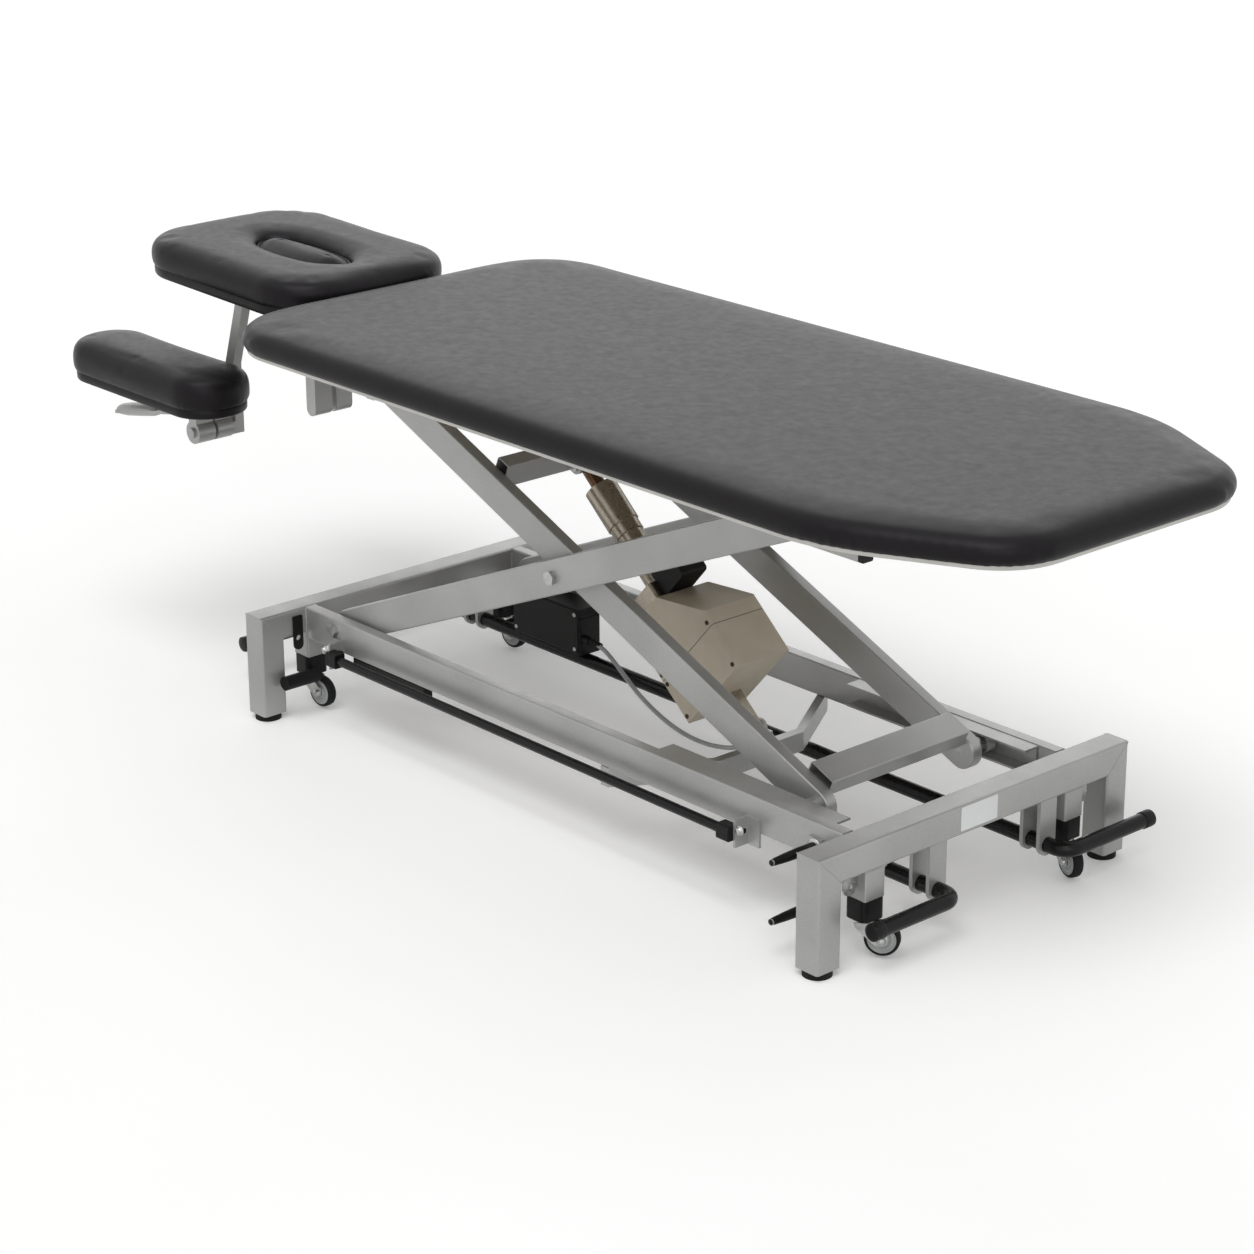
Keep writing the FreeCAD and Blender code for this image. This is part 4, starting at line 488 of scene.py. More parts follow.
padLow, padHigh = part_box("main_pad")
boardLow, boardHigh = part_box("main_board")
railLow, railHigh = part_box("base_rails")
headPortalLow, headPortalHigh, headPortalMid = spanOf("head_portal")
footPortalLow, footPortalHigh, footPortalMid = spanOf("foot_portal")
tubeSide = footPortalHigh.x - footPortalLow.x
beamBottom = footPortalHigh.z - tubeSide
railInner = railHigh.y - 20 * mm
actuatorPlace = frameOf(pivot("actuator_pivot"), -slideAxis)
headTilt = math.radians(1.4)
headPlace = (Matrix.Translation(pivot("headrest_tilt"))
             @ Matrix.Rotation(headTilt, 4, "Y"))
levelPlace = Matrix.Identity(4)
wheelCorners = ("near_foot", "far_foot", "near_head", "far_head")


# Camera at the photograph's viewing angle

def addCamera():
    given = {"stand": (3.36811, -2.94193, 1.85576), "aim": (0.036089, 0.014151, 0.211776),
             "roll": -0.2525, "lens": 93.44, "sensor": 36.0}
    data = setAll(bpy.data.cameras.new("camera"), lens=given["lens"],
                  sensor_width=given["sensor"], sensor_fit="HORIZONTAL", clip_end=60)
    made = linked("camera", data)
    look = Vector(given["aim"]) - Vector(given["stand"])
    level = look.to_track_quat("-Z", "Y").to_matrix().to_4x4()
    roll = Matrix.Rotation(math.radians(given["roll"]), 4, "Z")
    made.matrix_world = Matrix.Translation(Vector(given["stand"])) @ level @ roll
    scene.camera = made


addCamera()


# Motor lead: one smooth curve from the control box to the actuator's cross-member

def addMotorLead():
    lead = {"diameter": 7 * mm, "length": 0.520, "baseMiddle": 130.5}
    relief = {"collar": 2.6 * mm, "collarLong": 3 * mm, "ribs": 5, "pitch": 4 * mm,
              "rib": 2.3 * mm, "taper": 0.38 * mm, "groove": 0.7 * mm, "tip": 0.3 * mm,
              "long": 25 * mm, "gripShare": 0.98}
    route = [(-286, 130, 100), (-246, 122, 88), (-204, 113, 70), (-158, 104, 54), (-108, 95, 43),
             (-56, 86, 38), (-4, 76, 41), (46, 66, 51), (92, 56, 66), (130, 46, 88), (156, 40, 105)]
    start, end = (-310, 130, 100), (178.5, 40, 105)
    spots = [Vector((lead["baseMiddle"] + x, y, z)) * mm for x, y, z in [start] + route + [end]]
    made = makeCurve("motorLead", [(spots, False)], "NURBS")
    setAll(made.data.splines[0], order_u=3, use_endpoint_u=True, resolution_u=12)
    setAll(made.data, bevel_depth=lead["diameter"] / 2, bevel_resolution=5, use_fill_caps=True)
    made.data.materials.append(leadPvc)
    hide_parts("motor_lead")
    mounted(made, "base_frame")
    radius = lead["diameter"] / 2
    rings = [(0.0, radius * relief["gripShare"]), (0.0, radius + relief["collar"]),
             (relief["collarLong"], radius + relief["collar"])]
    for rib in range(relief["ribs"]):  # a ribbed, tapered sleeve
        base = (rib + 1) * relief["pitch"]
        thick = radius + relief["rib"] - rib * relief["taper"]
        rings += [(base, thick - relief["groove"]), (base + 0.6 * mm, thick),
                  (base + 2.8 * mm, thick), (base + 3.4 * mm, thick - relief["groove"])]
    rings += [(relief["long"], radius + relief["tip"]),
              (relief["long"], radius * relief["gripShare"])]
    for name, spot, ahead in (("leadReliefBox", spots[0], spots[1] - spots[0]),
                              ("leadReliefMember", spots[-1], spots[-2] - spots[-1])):
        sleeve = lathe(name, rings, frameOf(spot, ahead), blackNylon, 32)
        mounted(sleeve, "base_frame")


addMotorLead()
print("camera and lead made")


# Cushions

# how high a cushion's side has risen, and how far it is drawn in there, in shares of its roll
sectionShares = [(0.0, 0.75), (0.04, 0.38), (0.12, 0.12), (0.27, 0.0), (0.5, 0.0), (0.64, 0.08),
                 (0.75, 0.25), (0.84, 0.52), (0.905, 0.9), (0.95, 1.4), (0.98, 2.1), (1.0, 3.4)]
clothFrames = 20


def puff(piece, pad, bottom):
    # an even mesh, swelled by cloth pressure with its underside held, then capped and applied
    applied(piece, "REMESH", mode="VOXEL", voxel_size=pad["voxel"], use_smooth_shade=True)
    start = [vertex.co.copy() for vertex in piece.data.vertices]
    group = piece.vertex_groups.new(name="held")
    group.add([vertex.index for vertex in piece.data.vertices
               if vertex.co.z < bottom + pad["held"]], 1.0, "REPLACE")
    cloth = piece.modifiers.new("cloth", "CLOTH")
    setAll(cloth.settings, use_pressure=True, uniform_pressure_force=pad["pressure"],
           tension_stiffness=40, compression_stiffness=40, bending_stiffness=4,
           vertex_group_mass="held")
    cloth.settings.effector_weights.gravity = 0
    cloth.point_cache.frame_end = clothFrames
    for step in range(1, clothFrames + 1):
        scene.frame_set(step)
    baked(piece)
    scene.frame_set(1)
    for vertex, was in zip(piece.data.vertices, start):
        shift = vertex.co - was
        if shift.length > pad["cap"]:
            vertex.co = was + shift.normalized() * pad["cap"]
    smoothed(piece.data)


def pleat(piece, arcs, bottom, depth, reach, pitch):
    # small gathers where the cover turns round each corner, deepest at the lower edge
    for vertex in piece.data.vertices:
        spot = vertex.co
        fade = 1 - (spot.z - bottom) / reach
        if fade <= 0 or fade > 1.15:
            continue
        for centre, radius, first, turn in arcs:
            away = spot.xy - centre
            if away.length < radius * 0.6:
                continue
            angle = math.atan2(away.y, away.x)
            share = ((angle - first) % (2 * math.pi)) / turn
            if 0 < share < 1:
                ripple = math.sin(angle * radius / pitch * 2 * math.pi)
                ripple += 0.6 * math.sin(angle * radius / pitch * 3.7 + 1.3)
                push = depth * fade ** 1.5 * math.sin(math.pi * share) ** 0.6 * ripple
                shift = away.normalized() * push
                vertex.co = spot + Vector((shift.x, shift.y, 0))
                break


def cushionRings(outline, bottom, top, pad):
    return [(outlinePoints(outline, pad["shrink"] + pad["roll"] * drawn, pad["step"]),
             bottom + (top - bottom) * rise) for rise, drawn in sectionShares]


def divided(piece):
    return applied(piece, "SUBSURF", levels=1, render_levels=1)


def upholster(piece, pad, bottom, outline):
    puff(piece, pad, bottom)
    applied(piece, "SMOOTH", factor=0.5, iterations=pad["relaxed"])
    pleat(divided(piece), cornerArcs(outline), bottom, *pad["gather"])


def asCushion(piece, node, body):
    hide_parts(node)
    mounted(piece, body)


softPad = {"shrink": -1 * mm, "step": 6 * mm, "under": 0.5 * mm, "pressure": 3.0,
           "cap": 1.6 * mm, "relaxed": 6}
mainPad = {**softPad, "headRound": 0.120, "shoulderRound": 0.300, "toeRound": 0.110,
           "taper": 0.231, "toeWidth": 0.423, "roll": 15 * mm, "step": 10 * mm,
           "under": 1.5 * mm, "over": 2.5 * mm, "voxel": 9 * mm, "held": 24 * mm,
           "pressure": 4.0, "relaxed": 8, "gather": (0.55 * mm, 26 * mm, 15 * mm),
           "bandInset": 7 * mm, "bandWide": 9 * mm}
headPad = {**softPad, "start": 12 * mm, "long": 0.447, "width": 0.334, "thick": 50 * mm,
           "lift": 25 * mm, "round": 100 * mm, "roll": 13 * mm, "over": 1.5 * mm,
           "voxel": 5 * mm, "held": 16 * mm, "gather": (0.5 * mm, 22 * mm, 12 * mm),
           "boardThick": 10 * mm, "faceFromHinge": 0.214, "faceLong": 0.216,
           "faceWide": 86 * mm, "faceShare": 0.48, "dishReach": 36 * mm, "dishDeep": 10 * mm,
           "lip": 4 * mm, "pinchShare": 0.42}
facePlug = {"gap": 1.3 * mm, "sink": 18 * mm, "under": 1 * mm, "crown": 14 * mm,
            "crownEdge": 3 * mm, "step": 5 * mm, "weltInset": 0.9 * mm, "welt": 2 * mm}
armrest = {**softPad, "long": 0.380, "wide": 0.130, "roundShare": 0.96, "roll": 14 * mm,
           "shrink": -1.5 * mm, "over": 0.5 * mm, "voxel": 4.5 * mm, "held": 15 * mm,
           "gather": (0.45 * mm, 20 * mm, 11 * mm), "boardThick": 9 * mm}


def mainOutline():
    shoulder, half, toe = padHigh.x - mainPad["taper"], padHigh.y, mainPad["toeWidth"] / 2
    corners = [(padLow.x, -half), (shoulder, -half), (padHigh.x, -toe)]
    radii = [mainPad[part + "Round"] for part in ("head", "shoulder", "toe")]
    return corners + [(x, -y) for x, y in corners[::-1]], radii + radii[::-1]


def addMainPad():
    outline = mainOutline()
    bottom, top = padLow.z + mainPad["under"], padHigh.z - mainPad["over"]
    made = loft("mainPad", cushionRings(outline, bottom, top, mainPad), levelPlace, vinyl)
    upholster(made, mainPad, bottom, outline)
    asCushion(made, "main_pad", "deck")


def headOutline():
    middle = -headPad["start"] - headPad["long"] / 2
    return rounded(middle, 0, headPad["long"], headPad["width"], headPad["round"])


def faceOutline(shrink=0.0):
    wide = headPad["faceWide"]
    return rounded(-headPad["faceFromHinge"], 0, headPad["faceLong"] - 2 * shrink,
                   wide - 2 * shrink, headPad["faceShare"] * wide - shrink)


def lensPoints(outline, inset, step, like=None):
    # the opening's outline, drawn in towards its two tips like a lens
    middle = -headPad["faceFromHinge"]
    reach = max(abs(corner[0] - middle) for corner in outline[0]) - inset
    return [Vector((spot.x, spot.y * (1 - headPad["pinchShare"] * ((spot.x - middle) / reach) ** 2)))
            for spot in outlinePoints(outline, inset, step, like)]


def addHeadPad():
    pad, outline, face = headPad, headOutline(), faceOutline()
    bottom, top = pad["lift"] + pad["under"], pad["lift"] + pad["thick"] - pad["over"]
    rings = cushionRings(outline, bottom, top, pad)
    for share in (1.0, 0.86, 0.7, 0.52, 0.36, 0.22, 0.1, 0.02):  # the cover is drawn down to the hole
        drop = pad["dishDeep"] * (1 - math.sin(share * math.pi / 2)) ** 1.1
        rings.append((lensPoints(face, -pad["dishReach"] * share, pad["step"], outline), top - drop))
    for height, inset in ((top - pad["dishDeep"] - pad["lip"], 0.0), (bottom + 8 * mm, 0.0),
                          (bottom, -1.0 * mm)):
        rings.append((lensPoints(face, inset, pad["step"], outline), height))
    made = loft("headrestPad", rings, levelPlace, vinyl, holed=True)
    upholster(made, pad, bottom, outline)
    made.data.transform(headPlace)
    asCushion(made, "headrest_pad", "headrest")


def addFacePlug():
    plug, outline = facePlug, faceOutline(facePlug["gap"])
    bottom = headPad["lift"] + plug["under"]
    edge = headPad["lift"] + headPad["thick"] - plug["sink"]
    rings = [(lensPoints(outline, drawn * mm, plug["step"]), bottom + (edge - bottom) * rise)
             for rise, drawn in ((0.0, 3.0), (0.05, 1.2), (0.15, 0.3), (0.4, 0.0), (0.8, 0.0),
                                 (0.94, 0.3), (1.0, 1.0))]
    depth = headPad["faceWide"] / 2 - plug["crownEdge"]
    for share in (0.03, 0.08, 0.16, 0.27, 0.4, 0.55, 0.72, 0.9):  # a lens-shaped crown
        rings.append((lensPoints(outline, 1 * mm + depth * share, plug["step"]),
                      edge + plug["crown"] * math.sin(share * math.pi / 2)))
    made = divided(loft("facePlugPad", rings, levelPlace, vinyl))
    made.data.transform(headPlace)
    smoothed(made.data)
    asCushion(made, "face_plug", "face_plug")
    welt = [(*spot, edge + 0.3 * mm)
            for spot in lensPoints(outline, plug["weltInset"], plug["step"])]
    piping = tube("facePlugPiping", [(welt, True)], plug["welt"], vinyl, 10)
    piping.data.transform(headPlace)
    mounted(piping, "face_plug")


def armOutline(word):
    low, high, middle = spanOf(word + "_armrest_pad")
    return rounded(middle.x, middle.y, armrest["long"], armrest["wide"],
                   armrest["wide"] / 2 * armrest["roundShare"])


def addArmPads():
    for word in ("near", "far"):
        low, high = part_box(word + "_armrest_pad")
        outline = armOutline(word)
        bottom, top = low.z + armrest["under"], high.z - armrest["over"]
        made = loft(word + "ArmrestPad", cushionRings(outline, bottom, top, armrest), levelPlace,
                    vinyl)
        upholster(made, armrest, bottom, outline)
        asCushion(made, word + "_armrest_pad", word + "_armrest")


addMainPad()
addHeadPad()
addFacePlug()
addArmPads()
print("cushions made")


# The cover's edge turned under each board, held by staples, and the main board's edging

staple = {"wide": 10 * mm, "thick": 0.7 * mm, "apart": 24 * mm}
stapleSection = rectangle(0, 0, staple["thick"], staple["thick"])
stapleModel = asModel(loft("stapleModel", [(stapleSection, -staple["wide"] / 2),
                                           (stapleSection, staple["wide"] / 2)],
                           frameOf((0, 0, 0), (0, 1, 0), (1, 0, 0)), zinc, smooth=False))


def addMargin(name, outline, outer, inner, bottom, top, place, body, step):
    # a thin ring of vinyl from the pad's lower edge, under the board, to its cut edge
    sections = ((outer, top), (outer + 0.4 * mm, bottom + 3.4 * mm),
                (outer + 1.6 * mm, bottom + 1.2 * mm), (outer + 4 * mm, bottom),
                (inner - 1.0 * mm, bottom), (inner, bottom + 0.5 * mm), (inner, top))
    edging(name, outline, sections, step, place, vinyl, body)
    line = outlinePoints(outline, (outer + inner) / 2 + 6 * mm, step)
    path = [place @ Vector((*spot, bottom - 0.2 * mm)) for spot in line]
    staples = followPaths(name + "Staples", [(path, True)], stapleModel, zinc, staple["apart"])
    mounted(staples, body)


def addMargins():
    cover, rise, step = 1.2 * mm, 9 * mm, 7 * mm
    addMargin("mainPadMargin", mainOutline(), 16 * mm, 46 * mm, boardLow.z - cover,
              boardLow.z + 1 * mm, levelPlace, "deck", mainPad["step"])
    addMargin("headrestMargin", headOutline(), 3 * mm, 34 * mm,
              headPad["lift"] - headPad["boardThick"] - cover, headPad["lift"] + rise, headPlace,
              "headrest", step)
    for word in ("near", "far"):
        low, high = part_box(word + "_armrest_pad")
        addMargin(word + "ArmrestMargin", armOutline(word), 3 * mm, 30 * mm,
                  low.z - armrest["boardThick"] - 1.0 * mm, low.z + rise, levelPlace,
                  word + "_armrest", step)


def addBoardBand():  # the pale edging on the main board's side
    band, wide, edge = mainPad["bandInset"], mainPad["bandWide"], 0.6 * mm
    sections = ((band + edge, boardLow.z), (band, boardLow.z + edge), (band, boardHigh.z),
                (band + wide, boardHigh.z), (band + wide, boardLow.z))
    edging("mainBoardBand", mainOutline(), sections, mainPad["step"], levelPlace, edgeBand, "deck")


addBoardBand()
addMargins()
print("covers stapled")


# Floor, sky and lights: a plain pale studio

def seenRay(tree):  # 1 for the rays that show the background: camera, mirror and glass
    path = addNode(tree, "ShaderNodeLightPath").outputs
    seen = path["Is Camera Ray"]
    for kind in ("Is Glossy Ray", "Is Transmission Ray"):
        seen = addNode(tree, "ShaderNodeMath", {0: seen, 1: path[kind]},
                       operation="MAXIMUM").outputs[0]
    return seen


def seenOr(tree, unseen, seen):
    return addNode(tree, "ShaderNodeMapRange", {"Value": seenRay(tree), "To Min": unseen,
                                                "To Max": seen}).outputs["Result"]


def addStudio():
    studio = {"half": 30, "glow": 0.16, "sky": (0.52, 1.0), "white": linear("#FFFFFF")}
    lamps = {"overhead": ((0.6, -1.2, 3.0), 1.0, 34), "side": ((2.6, -2.0, 1.6), 0.4, 40),
             "back": ((-2.6, 2.3, 1.5), 0.3, 50)}
    floorPaint = makeFinish("paintedFloor", {
        "tones": ("#F8F8F7", "#FBFBFB"), "tone": (0.8, 2, 0.5),
        "plain": {"Roughness": 0.85, "Specular IOR Level": 0.1, "Emission Color": studio["white"]}})
    tree = floorPaint.node_tree
    feed(tree, tree.nodes["Principled BSDF"], {"Emission Strength": seenOr(tree, 0, studio["glow"])})
    corners = [(*spot, 0) for spot in rectangle(0, 0, 2 * studio["half"], 2 * studio["half"])]
    addMesh("floor", corners, [(0, 1, 2, 3)], floorPaint, False)
    world = bpy.data.worlds.new("studio")
    scene.world = world
    world.use_nodes = True
    tree = world.node_tree
    tree.nodes.clear()
    sky = addNode(tree, "ShaderNodeBackground", {"Color": studio["white"],
                                                 "Strength": seenOr(tree, *studio["sky"])})
    addNode(tree, "ShaderNodeOutputWorld", {"Surface": sky.outputs[0]})
    for name, (stand, power, spread) in lamps.items():
        data = setAll(bpy.data.lights.new(name, "SUN"), energy=power, angle=math.radians(spread))
        setAll(linked(name, data), location=stand,
               rotation_euler=Vector(stand).to_track_quat("Z", "Y").to_euler())
    scene.view_settings.view_transform = "Standard"


addStudio()


# Finishes on the frame's own pieces

frameFinishes = (
    (silverPaint, "head_portal foot_portal base_rails lower_channels actuator_crossmember "
                  "actuator_bracket caster_stubs pedal_hangers near_rail_brackets outer_arms "
                  "inner_arms inner_crossbars deck_rails deck_crossmembers head_end_brackets "
                  "headrest_frame armrest_hangers near_armrest_bracket far_armrest_bracket "
                  "near_armrest_lever far_armrest_lever"),
    (zinc, "base_pivot_bolts outer_arm_pins inner_arm_pins deck_pivot_bolts headrest_hinge"),
    (blackNylon, "rail_end_caps control_box foot_bar_switch limit_switch_box "
                 "foot_caster_sleeves head_caster_sleeves"),
    (glossBlack, "near_pedal far_pedal foot_bar"), (blackRubber, "leg_pads"),
    (hubNylon, "upper_rollers lower_rollers"), (plywood, "main_board headrest_board"),
    (beigeAbs, "motor_case motor_cover"), (brightSteel, "actuator_tube rod_sleeve"),
    (bronze, "actuator_rod"), (brownedGear, "spindle_drive"))
smoothUnder = math.radians(32)


def finishNode(name, finish):
    piece = bpy.data.objects[name]
    for slot in piece.material_slots:
        slot.material = finish
    attach(piece, tidyTree, Angle=smoothUnder, Reach=0.002 * mm)


for finish, names in frameFinishes:
    for name in names.split():
        finishNode(name, finish)
for corner in wheelCorners:
    finishNode(corner + "_caster_fork", zinc)
    finishNode(corner + "_caster_wheel", hubNylon)
print("finishes laid on the frame")


# Fasteners and small hardware; their profiles are (along, radius) pairs in millimetres

def makeModel(name, profile, place, finish, steps):
    pairs = [(along * mm, radius * mm) for along, radius in profile]
    return asModel(lathe(name, pairs, place, finish, steps))


# a pan head with a socket, its Z out of the surface, and one ripple of a weld, its X along the seam
screwModel = makeModel("screwModel", [(-0.6, 0.0), (-0.6, 3.4), (0.7, 3.4), (1.35, 2.7),
                                      (1.35, 1.4), (0.4, 1.4), (0.4, 0.0)],
                       frameOf((0, 0, 0), (0, 0, 1), (1, 0, 0)), zinc, 14)
beadModel = makeModel("beadModel", [(-1.7, 0.0), (-1.2, 1.2), (0.0, 1.9), (1.2, 1.2), (1.7, 0.0)],
                      levelPlace, silverPaint, 8)


def soften(piece, width):  # breaks the sharp edges
    setAll(piece.modifiers.new("edges", "BEVEL"), width=width, segments=1, limit_method="ANGLE",
           angle_limit=math.radians(40))


# Casters: rubber tyre, grey hub, race and axle bolt on each

caster = {"radius": 24.0, "half": 8.0, "hub": 19.5, "cheek": 11.5, "boltAcross": 5.4}
fork = {"top": 50.4 * mm, "topHalf": 13 * mm, "thick": 0.9 * mm, "topRound": 0.8 * mm,
        "waistRound": 6 * mm, "axleRound": 7.4 * mm, "backRound": 9 * mm}


def addCasters():
    rim, half, hub, cheek = (caster[part] for part in ("radius", "half", "hub", "cheek"))
    across = caster["boltAcross"]
    tyre = [(half - 0.4, hub - 0.2), (half - 0.2, hub + 1.6), (half - 0.8, rim - 2.0),
            (half - 2.2, rim - 0.6), (3.5, rim)]
    tyre = [(-along, radius) for along, radius in tyre] + tyre[::-1]
    side = [(half - 0.5, hub), (half - 0.4, 17.6), (half - 1.6, 17.0), (half - 1.6, 15.6),
            (half - 0.9, 15.0), (half - 0.9, 12.2), (half - 2.6, 11.4), (half - 2.6, 9.0),
            (half - 0.3, 8.2), (half - 0.3, 4.2), (half + 0.5, 4.2), (half + 0.5, 0.0)]
    side = [(-along, radius) for along, radius in side[::-1]] + side
    bolt = [(-0.2, 0.0), (-0.2, 6.6), (0.9, 6.6), (0.9, across), (3.6, across), (4.2, 4.4),
            (4.2, 2.6), (5.2, 2.2), (5.2, 0.0)]
    race = [(50.5, 0.0), (50.5, 13.5), (52.6, 14.6), (53.2, 14.6), (53.8, 12.6), (54.8, 12.2),
            (54.8, 0.0)]
    for corner in wheelCorners:
        centre, axis = pivot(corner + "_spin"), Vector(jointOf[corner + "_spin"]["axis"])
        stem = pivot(corner + "_swivel")
        for word, profile, finish in (("Tyre", tyre + tyre[:1], blackRubber),
                                      ("Hub", side, hubNylon)):
            wheel = turned(corner + word, centre, axis, profile, finish, corner + "_wheel", 64)
            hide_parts(corner + "_caster_wheel")
        for way, word in ((1, "Nut"), (-1, "Bolt")):
            head = turned(corner + "Axle" + word, centre, axis * way,
                          [(cheek + along, radius) for along, radius in bolt], zinc,
                          corner + "_fork", 12)
            soften(head, 0.25 * mm)
        addForkCheeks(corner, stem, centre, axis)
        turned(corner + "Race", (stem.x, stem.y, 0), (0, 0, 1), race, zinc, corner + "_fork")


def addForkCheeks(corner, stem, centre, axis):
    # the fork's pressed side plates, wide at the race and round at the axle
    across = Vector((centre.x - stem.x, centre.y - stem.y, 0))
    trail, drop = across.length, centre.z - fork["top"]
    shape = [(-fork["topHalf"], 0), (-10 * mm, -7 * mm), (trail - 8 * mm, drop - 8 * mm),
             (trail + 8 * mm, drop - 8 * mm), (trail + 8.5 * mm, drop + 7 * mm),
             (fork["topHalf"], 0)]
    radii = [fork[part + "Round"] for part in ("top", "waist", "axle", "axle", "back", "top")]
    for way, word in ((1, "Far"), (-1, "Near")):
        origin = Vector((stem.x, stem.y, fork["top"])) + axis * way * caster["cheek"] * mm
        place = frameOf(origin, across, axis * way)
        flip = place.to_3x3().col[1].z < 0
        outline = ([(x, -y) for x, y in shape[::-1]], radii[::-1]) if flip else (shape, radii)
        plate(corner + "Cheek" + word, outline, fork["thick"], place, zinc, corner + "_fork")


# Lead pegs, foot bar and pedal ends

def addPegs():
    peg = {"heights": {"Low": 56 * mm, "High": 139 * mm}, "fromPortal": 45 * mm,
           "root": -218 * mm}
    sleeve = [(2.5, 0.0), (2.5, 6.6), (30, 6.9), (54, 6.2), (74, 4.9), (78.6, 4.0), (79.8, 2.2),
              (79.8, 0.0)]
    disc = [(0.2, 0.0), (0.2, 11.5), (1.0, 12.0), (2.2, 12.0), (3.0, 11.2), (3.0, 0.0)]
    for word, height in peg["heights"].items():
        start = (footPortalLow.x - peg["fromPortal"], peg["root"], height)
        turned("peg" + word + "Sleeve", start, (0, -1, 0), sleeve, blackNylon, "base_frame")
        turned("peg" + word + "Disc", start, (0, -1, 0), disc, zinc, "base_frame")


def addPedalEnds():
    pedal = {"tubeHalf": 11 * mm, "fromPortal": 31 * mm, "bend": 2.7 * mm}
    grip = [(-18, 0.0), (-18, 11.6), (-17, 12.1), (-3, 12.2), (-0.5, 11.8), (0.9, 10.6),
            (1.7, 8.0), (2.0, 4.0), (2.0, 0.0)]
    nearLow, nearHigh, nearMid = spanOf("near_pedal")
    farLow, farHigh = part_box("far_pedal")
    footX = footPortalHigh.x + pedal["fromPortal"]
    headX = farLow.x + pedal["tubeHalf"] + pedal["bend"]
    for name, x, y, way, body in (("nearPedalGrip", footX, nearLow.y, -1, "near_pedal"),
                                  ("farPedalGrip", footX, farHigh.y, 1, "far_pedal"),
                                  ("headPedalGrip", headX, farLow.y, -1, "far_pedal")):
        turned(name, (x, y, nearMid.z), (0, way, 0), grip, blackNylon, body)


def addFootBarEnds():
    block = {"wide": 20 * mm, "tall": 22 * mm, "long": 24 * mm, "round": 3 * mm, "edge": 1 * mm,
             "fromEnd": 4 * mm, "axis": 7 * mm}
    bolt = {"past": 9 * mm, "y": -239.8 * mm, "up": 8 * mm}
    profile = [(0, 0), (0, 7), (1.1, 7), (1.1, 5.0), (4.6, 5.0), (5.2, 4.2), (5.2, 0)]
    low, high, middle = spanOf("foot_bar")
    for word, end, way in (("Foot", high.x, -1), ("Head", low.x, 1)):
        place = frameOf((end + way * block["fromEnd"], low.y + block["axis"], middle.z),
                        (0, 1, 0), (way, 0, 0))
        plate("footBar" + word + "Block", rounded(0, 0, block["wide"], block["tall"],
                                                  block["round"]),
              block["long"], place, blackNylon, "foot_bar", block["edge"])
        turned("footBar" + word + "Bolt", (end - way * bolt["past"], bolt["y"],
                                           middle.z + bolt["up"]),
               (0, -1, 0), profile, zinc, "base_frame", 12)


addCasters()
addPegs()
addPedalEnds()
addFootBarEnds()
print("casters, pegs and pedal ends made")


# Welds where tubes meet, and the ground mitres of the portals

def addWelds():
    weld = {"pitch": 2.7 * mm, "clear": 0.4 * mm, "railTop": 4 * mm, "stubHalf": 18 * mm,
            "stubY": 192 * mm, "leafHalf": 15 * mm, "leafFace": 12 * mm, "bracketHalf": 14 * mm,
            "nearLeafY": -75 * mm, "farLeafY": 140 * mm, "bracketOut": 16 * mm,
            "bracketIn": 53 * mm}
    bottom, top = railLow.z, railHigh.z - weld["railTop"]
    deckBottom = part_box("deck_rails")[0].z
    paths = []
    for x in (headPortalHigh.x + weld["clear"], footPortalLow.x - weld["clear"]):
        for inner, outer in ((-railInner, -railHigh.y), (railInner, railHigh.y)):
            paths.append(([(x, inner, top), (x, inner, bottom), (x, outer, bottom),
                           (x, outer, top)], False))
    for x in (headPortalMid.x, footPortalMid.x):
        for y in (-weld["stubY"], weld["stubY"]):
            corners = rectangle(x, y, 2 * weld["stubHalf"], 2 * weld["stubHalf"])
            paths.append(([(*corner, beamBottom) for corner in corners], True))
    for x, y in ((footPortalMid.x, weld["nearLeafY"]), (footPortalMid.x, weld["farLeafY"]),
                 (headPortalMid.x, weld["farLeafY"])):
        for face in (-weld["leafFace"], weld["leafFace"]):
            paths.append(([(x + face, y - weld["leafHalf"], beamBottom),
                           (x + face, y + weld["leafHalf"], beamBottom)], False))
    mounted(followPaths("baseWelds", paths, beadModel, silverPaint, weld["pitch"]), "base_frame")
    low, high, middle = spanOf("head_end_brackets")
    half, paths = weld["bracketHalf"], []
    for side in (-1, 1):
        for y in (high.y - weld["bracketOut"], -low.y - weld["bracketIn"]):
            paths.append(([(low.x, side * (y - half), deckBottom),
                           (high.x, side * (y - half), deckBottom),
                           (high.x, side * (y + half), deckBottom),
                           (low.x, side * (y + half), deckBottom)], True))
    mounted(followPaths("deckWelds", paths, beadModel, silverPaint, weld["pitch"]), "deck")


def addMitres():
    seam = {"radius": 0.55 * mm, "inset": 1.2 * mm}
    ridge = {"radius": 1.3 * mm, "inset": 1.0 * mm, "end": 4 * mm}  # left by the grinding
    lines = []
    for low, high in ((headPortalLow, headPortalHigh), (footPortalLow, footPortalHigh)):
        for x in (low.x, high.x):
            for side in (-1, 1):
                line = [(x, side * (high.y - inset), high.z - inset)
                        for inset in (seam["inset"], tubeSide)]
                lines.append((line, False))
        for side in (-1, 1):
            line = [(x, side * (high.y - ridge["inset"]), high.z - ridge["inset"])
                    for x in (low.x + ridge["end"], high.x - ridge["end"])]
            lines.append((line, False, ridge["radius"] / seam["radius"]))
    mounted(tube("portalMitres", lines, seam["radius"], silverPaint, 8), "base_frame")


addWelds()
addMitres()


# Motor housing: the gasket between its halves, and its screws

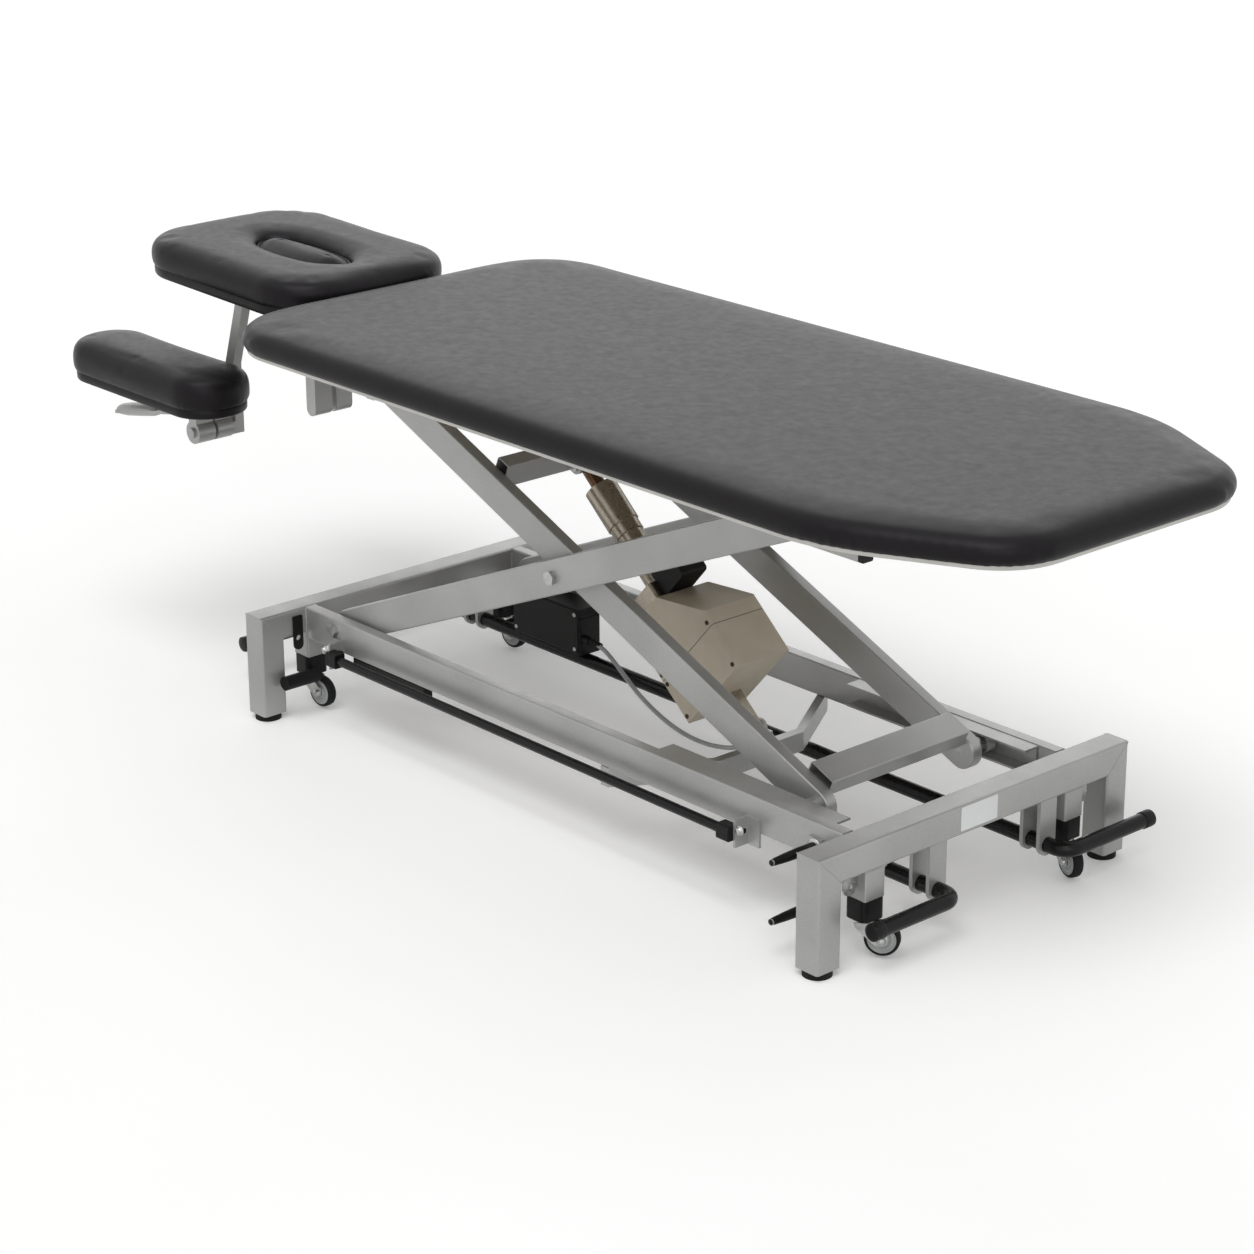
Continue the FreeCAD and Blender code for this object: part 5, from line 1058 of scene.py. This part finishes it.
def addHousingDetails():
    box = {"seam": -129.1, "half": 50, "low": -54, "tall": 103, "step": -151, "far": -221,
           "nose": -21, "screwY": 41, "proud": 0.2}  # millimetres along the slide and up from it
    gasket = {"round": 6 * mm, "outer": 1 * mm, "inner": 5 * mm, "thick": 1.2 * mm}
    seamPlace = actuatorPlace @ frameOf((box["seam"] * mm, 0, 0), (0, 1, 0), (1, 0, 0))
    outline = rounded(0, (box["tall"] + box["low"]) / 2 * mm, 2 * box["half"] * mm,
                      (box["tall"] - box["low"]) * mm, gasket["round"])
    outer, inner, thick = gasket["outer"], gasket["inner"], gasket["thick"]
    edging("housingGasket", outline, ((outer, 0), (outer, thick), (inner, thick), (inner, 0)),
           3 * mm, seamPlace, blackRubber, "actuator")
    spots = []
    for side in (-1, 1):
        for x, z in ((-66, 94), (-66, -45), (-121, -45), (-136, 95), (-137, -45), (-213, -45)):
            place = Vector((x, side * (box["half"] + box["proud"]), z)) * mm
            spots.append((actuatorPlace @ place, Vector((0, side, 0))))
    run = Vector((box["far"] - box["step"], 0, box["nose"] - box["tall"]))
    slope = actuatorPlace.to_3x3() @ Vector((run.z, 0, -run.x)).normalized()
    for share in (0.09, 0.9):
        for y in (-box["screwY"], box["screwY"]):
            place = Vector((box["step"], y, box["tall"])) + run * share
            spots.append((actuatorPlace @ (place * mm) + slope * box["proud"] * mm, slope))
    mounted(placeModels("housingScrews", spots, screwModel, brownedGear), "actuator")


# Control box lid and its screws, the blank label, plates under the beams

def addBoxDetails():
    box = {"low": (-353.5, 120, 74), "high": (-193.5, 164, 150), "rim": 6 * mm,
           "round": 5 * mm, "lid": 1.6 * mm, "edge": 0.6 * mm, "screwIn": 10 * mm,
           "screwOut": 1.7 * mm}
    label = {"wide": 70 * mm, "tall": 34 * mm, "round": 2 * mm, "thick": 0.5 * mm,
             "edge": 0.15 * mm, "y": -2 * mm, "z": 151 * mm}
    low, high = Vector(box["low"]) * mm, Vector(box["high"]) * mm
    wide, tall = high.x - low.x, high.z - low.z
    place = frameOf(((low.x + high.x) / 2, low.y, (low.z + high.z) / 2), (1, 0, 0), (0, -1, 0))
    plate("controlBoxLid", rounded(0, 0, wide - box["rim"], tall - box["rim"], box["round"]),
          box["lid"], place, blackNylon, "base_frame", box["edge"])
    spots = [(place @ Vector((x * (wide / 2 - box["screwIn"]), z * (tall / 2 - box["screwIn"]),
                              box["screwOut"])), (0, -1, 0)) for x in (-1, 1) for z in (-1, 1)]
    mounted(placeModels("controlBoxScrews", spots, screwModel, zinc), "base_frame")
    place = frameOf((footPortalHigh.x, label["y"], label["z"]), (0, 1, 0), (1, 0, 0))
    plate("blankLabel", rounded(0, 0, label["wide"], label["tall"], label["round"]),
          label["thick"], place, labelFilm, "base_frame", label["edge"])


def addBeamPlates():  # small lock plates beside the caster stubs, each with a hole; the black one at the head end is painted shade
    tab = {"thick": 3 * mm, "bore": 9 * mm, "boreShare": 0.494, "dropShare": 0.15,
           "roundShare": 0.48, "topRound": 1 * mm, "step": 2 * mm}
    places = (("nearFootTab", footPortalMid.x, -223, 128, 23, 34, zinc),
              ("farFootTab", footPortalMid.x, 223, 128, 23, 34, zinc),
              # the near head plate is black nylon: a dark plate put where the head beam's near end
              # lies in shade, painted shade
              ("nearHeadTab", headPortalHigh.x + 0.3 * mm, -231, 160, 17, 54, blackNylon))
    for name, x, *sizes, finish in places:
        y, top, wide, tall = (size * mm for size in sizes)
        place = frameOf((x, y, top - tall / 2), (0, 1, 0), (1, 0, 0))
        outline = (rectangle(0, 0, wide, tall), [wide * tab["roundShare"]] * 2 + [tab["topRound"]] * 2)
        bore = (rectangle(0, -tall * tab["dropShare"], tab["bore"], tab["bore"]),
                [tab["bore"] * tab["boreShare"]] * 4)
        rings = [(outlinePoints(edge, 0.0, tab["step"], outline), height)
                 for edge, height in ((outline, 0.0), (outline, tab["thick"]), (bore, tab["thick"]),
                                      (bore, 0.0))]
        made = loft(name, rings, place, finish, holed=True, smooth=False)
        mounted(made, "base_frame")


# Lever grips

def addLeverGrips():
    grip = {"tip": 206 * mm, "tipHeight": 373 * mm, "start": 96 * mm, "end": 205 * mm,
            "half": 15.5 * mm, "thick": 9.5 * mm, "sides": 28}
    shapeShares = ((0.0, 0.55, 0.5), (0.03, 0.78, 0.8), (0.12, 0.9, 1.0), (0.45, 1.0, 1.1),
                   (0.75, 1.1, 1.1), (0.92, 0.98, 0.95), (0.98, 0.8, 0.75), (1.0, 0.5, 0.45))
    for word in ("near", "far"):
        pin = pivot(word + "_lever_squeeze")
        tip = Vector((pin.x - grip["tip"], pin.y, grip["tipHeight"]))
        across = Vector((0, 0, 1)).cross(tip - pin)
        rings = [([(grip["half"] * wide * x, grip["thick"] * thick * y)
                   for x, y in circle(grip["sides"])],
                  grip["start"] + (grip["end"] - grip["start"]) * share)
                 for share, wide, thick in shapeShares]
        made = loft(word + "LeverGrip", rings, frameOf(pin, across, tip - pin), silverPaint)
        mounted(made, word + "_lever")


addHousingDetails()
addBoxDetails()
addBeamPlates()
addLeverGrips()
print("hardware made")
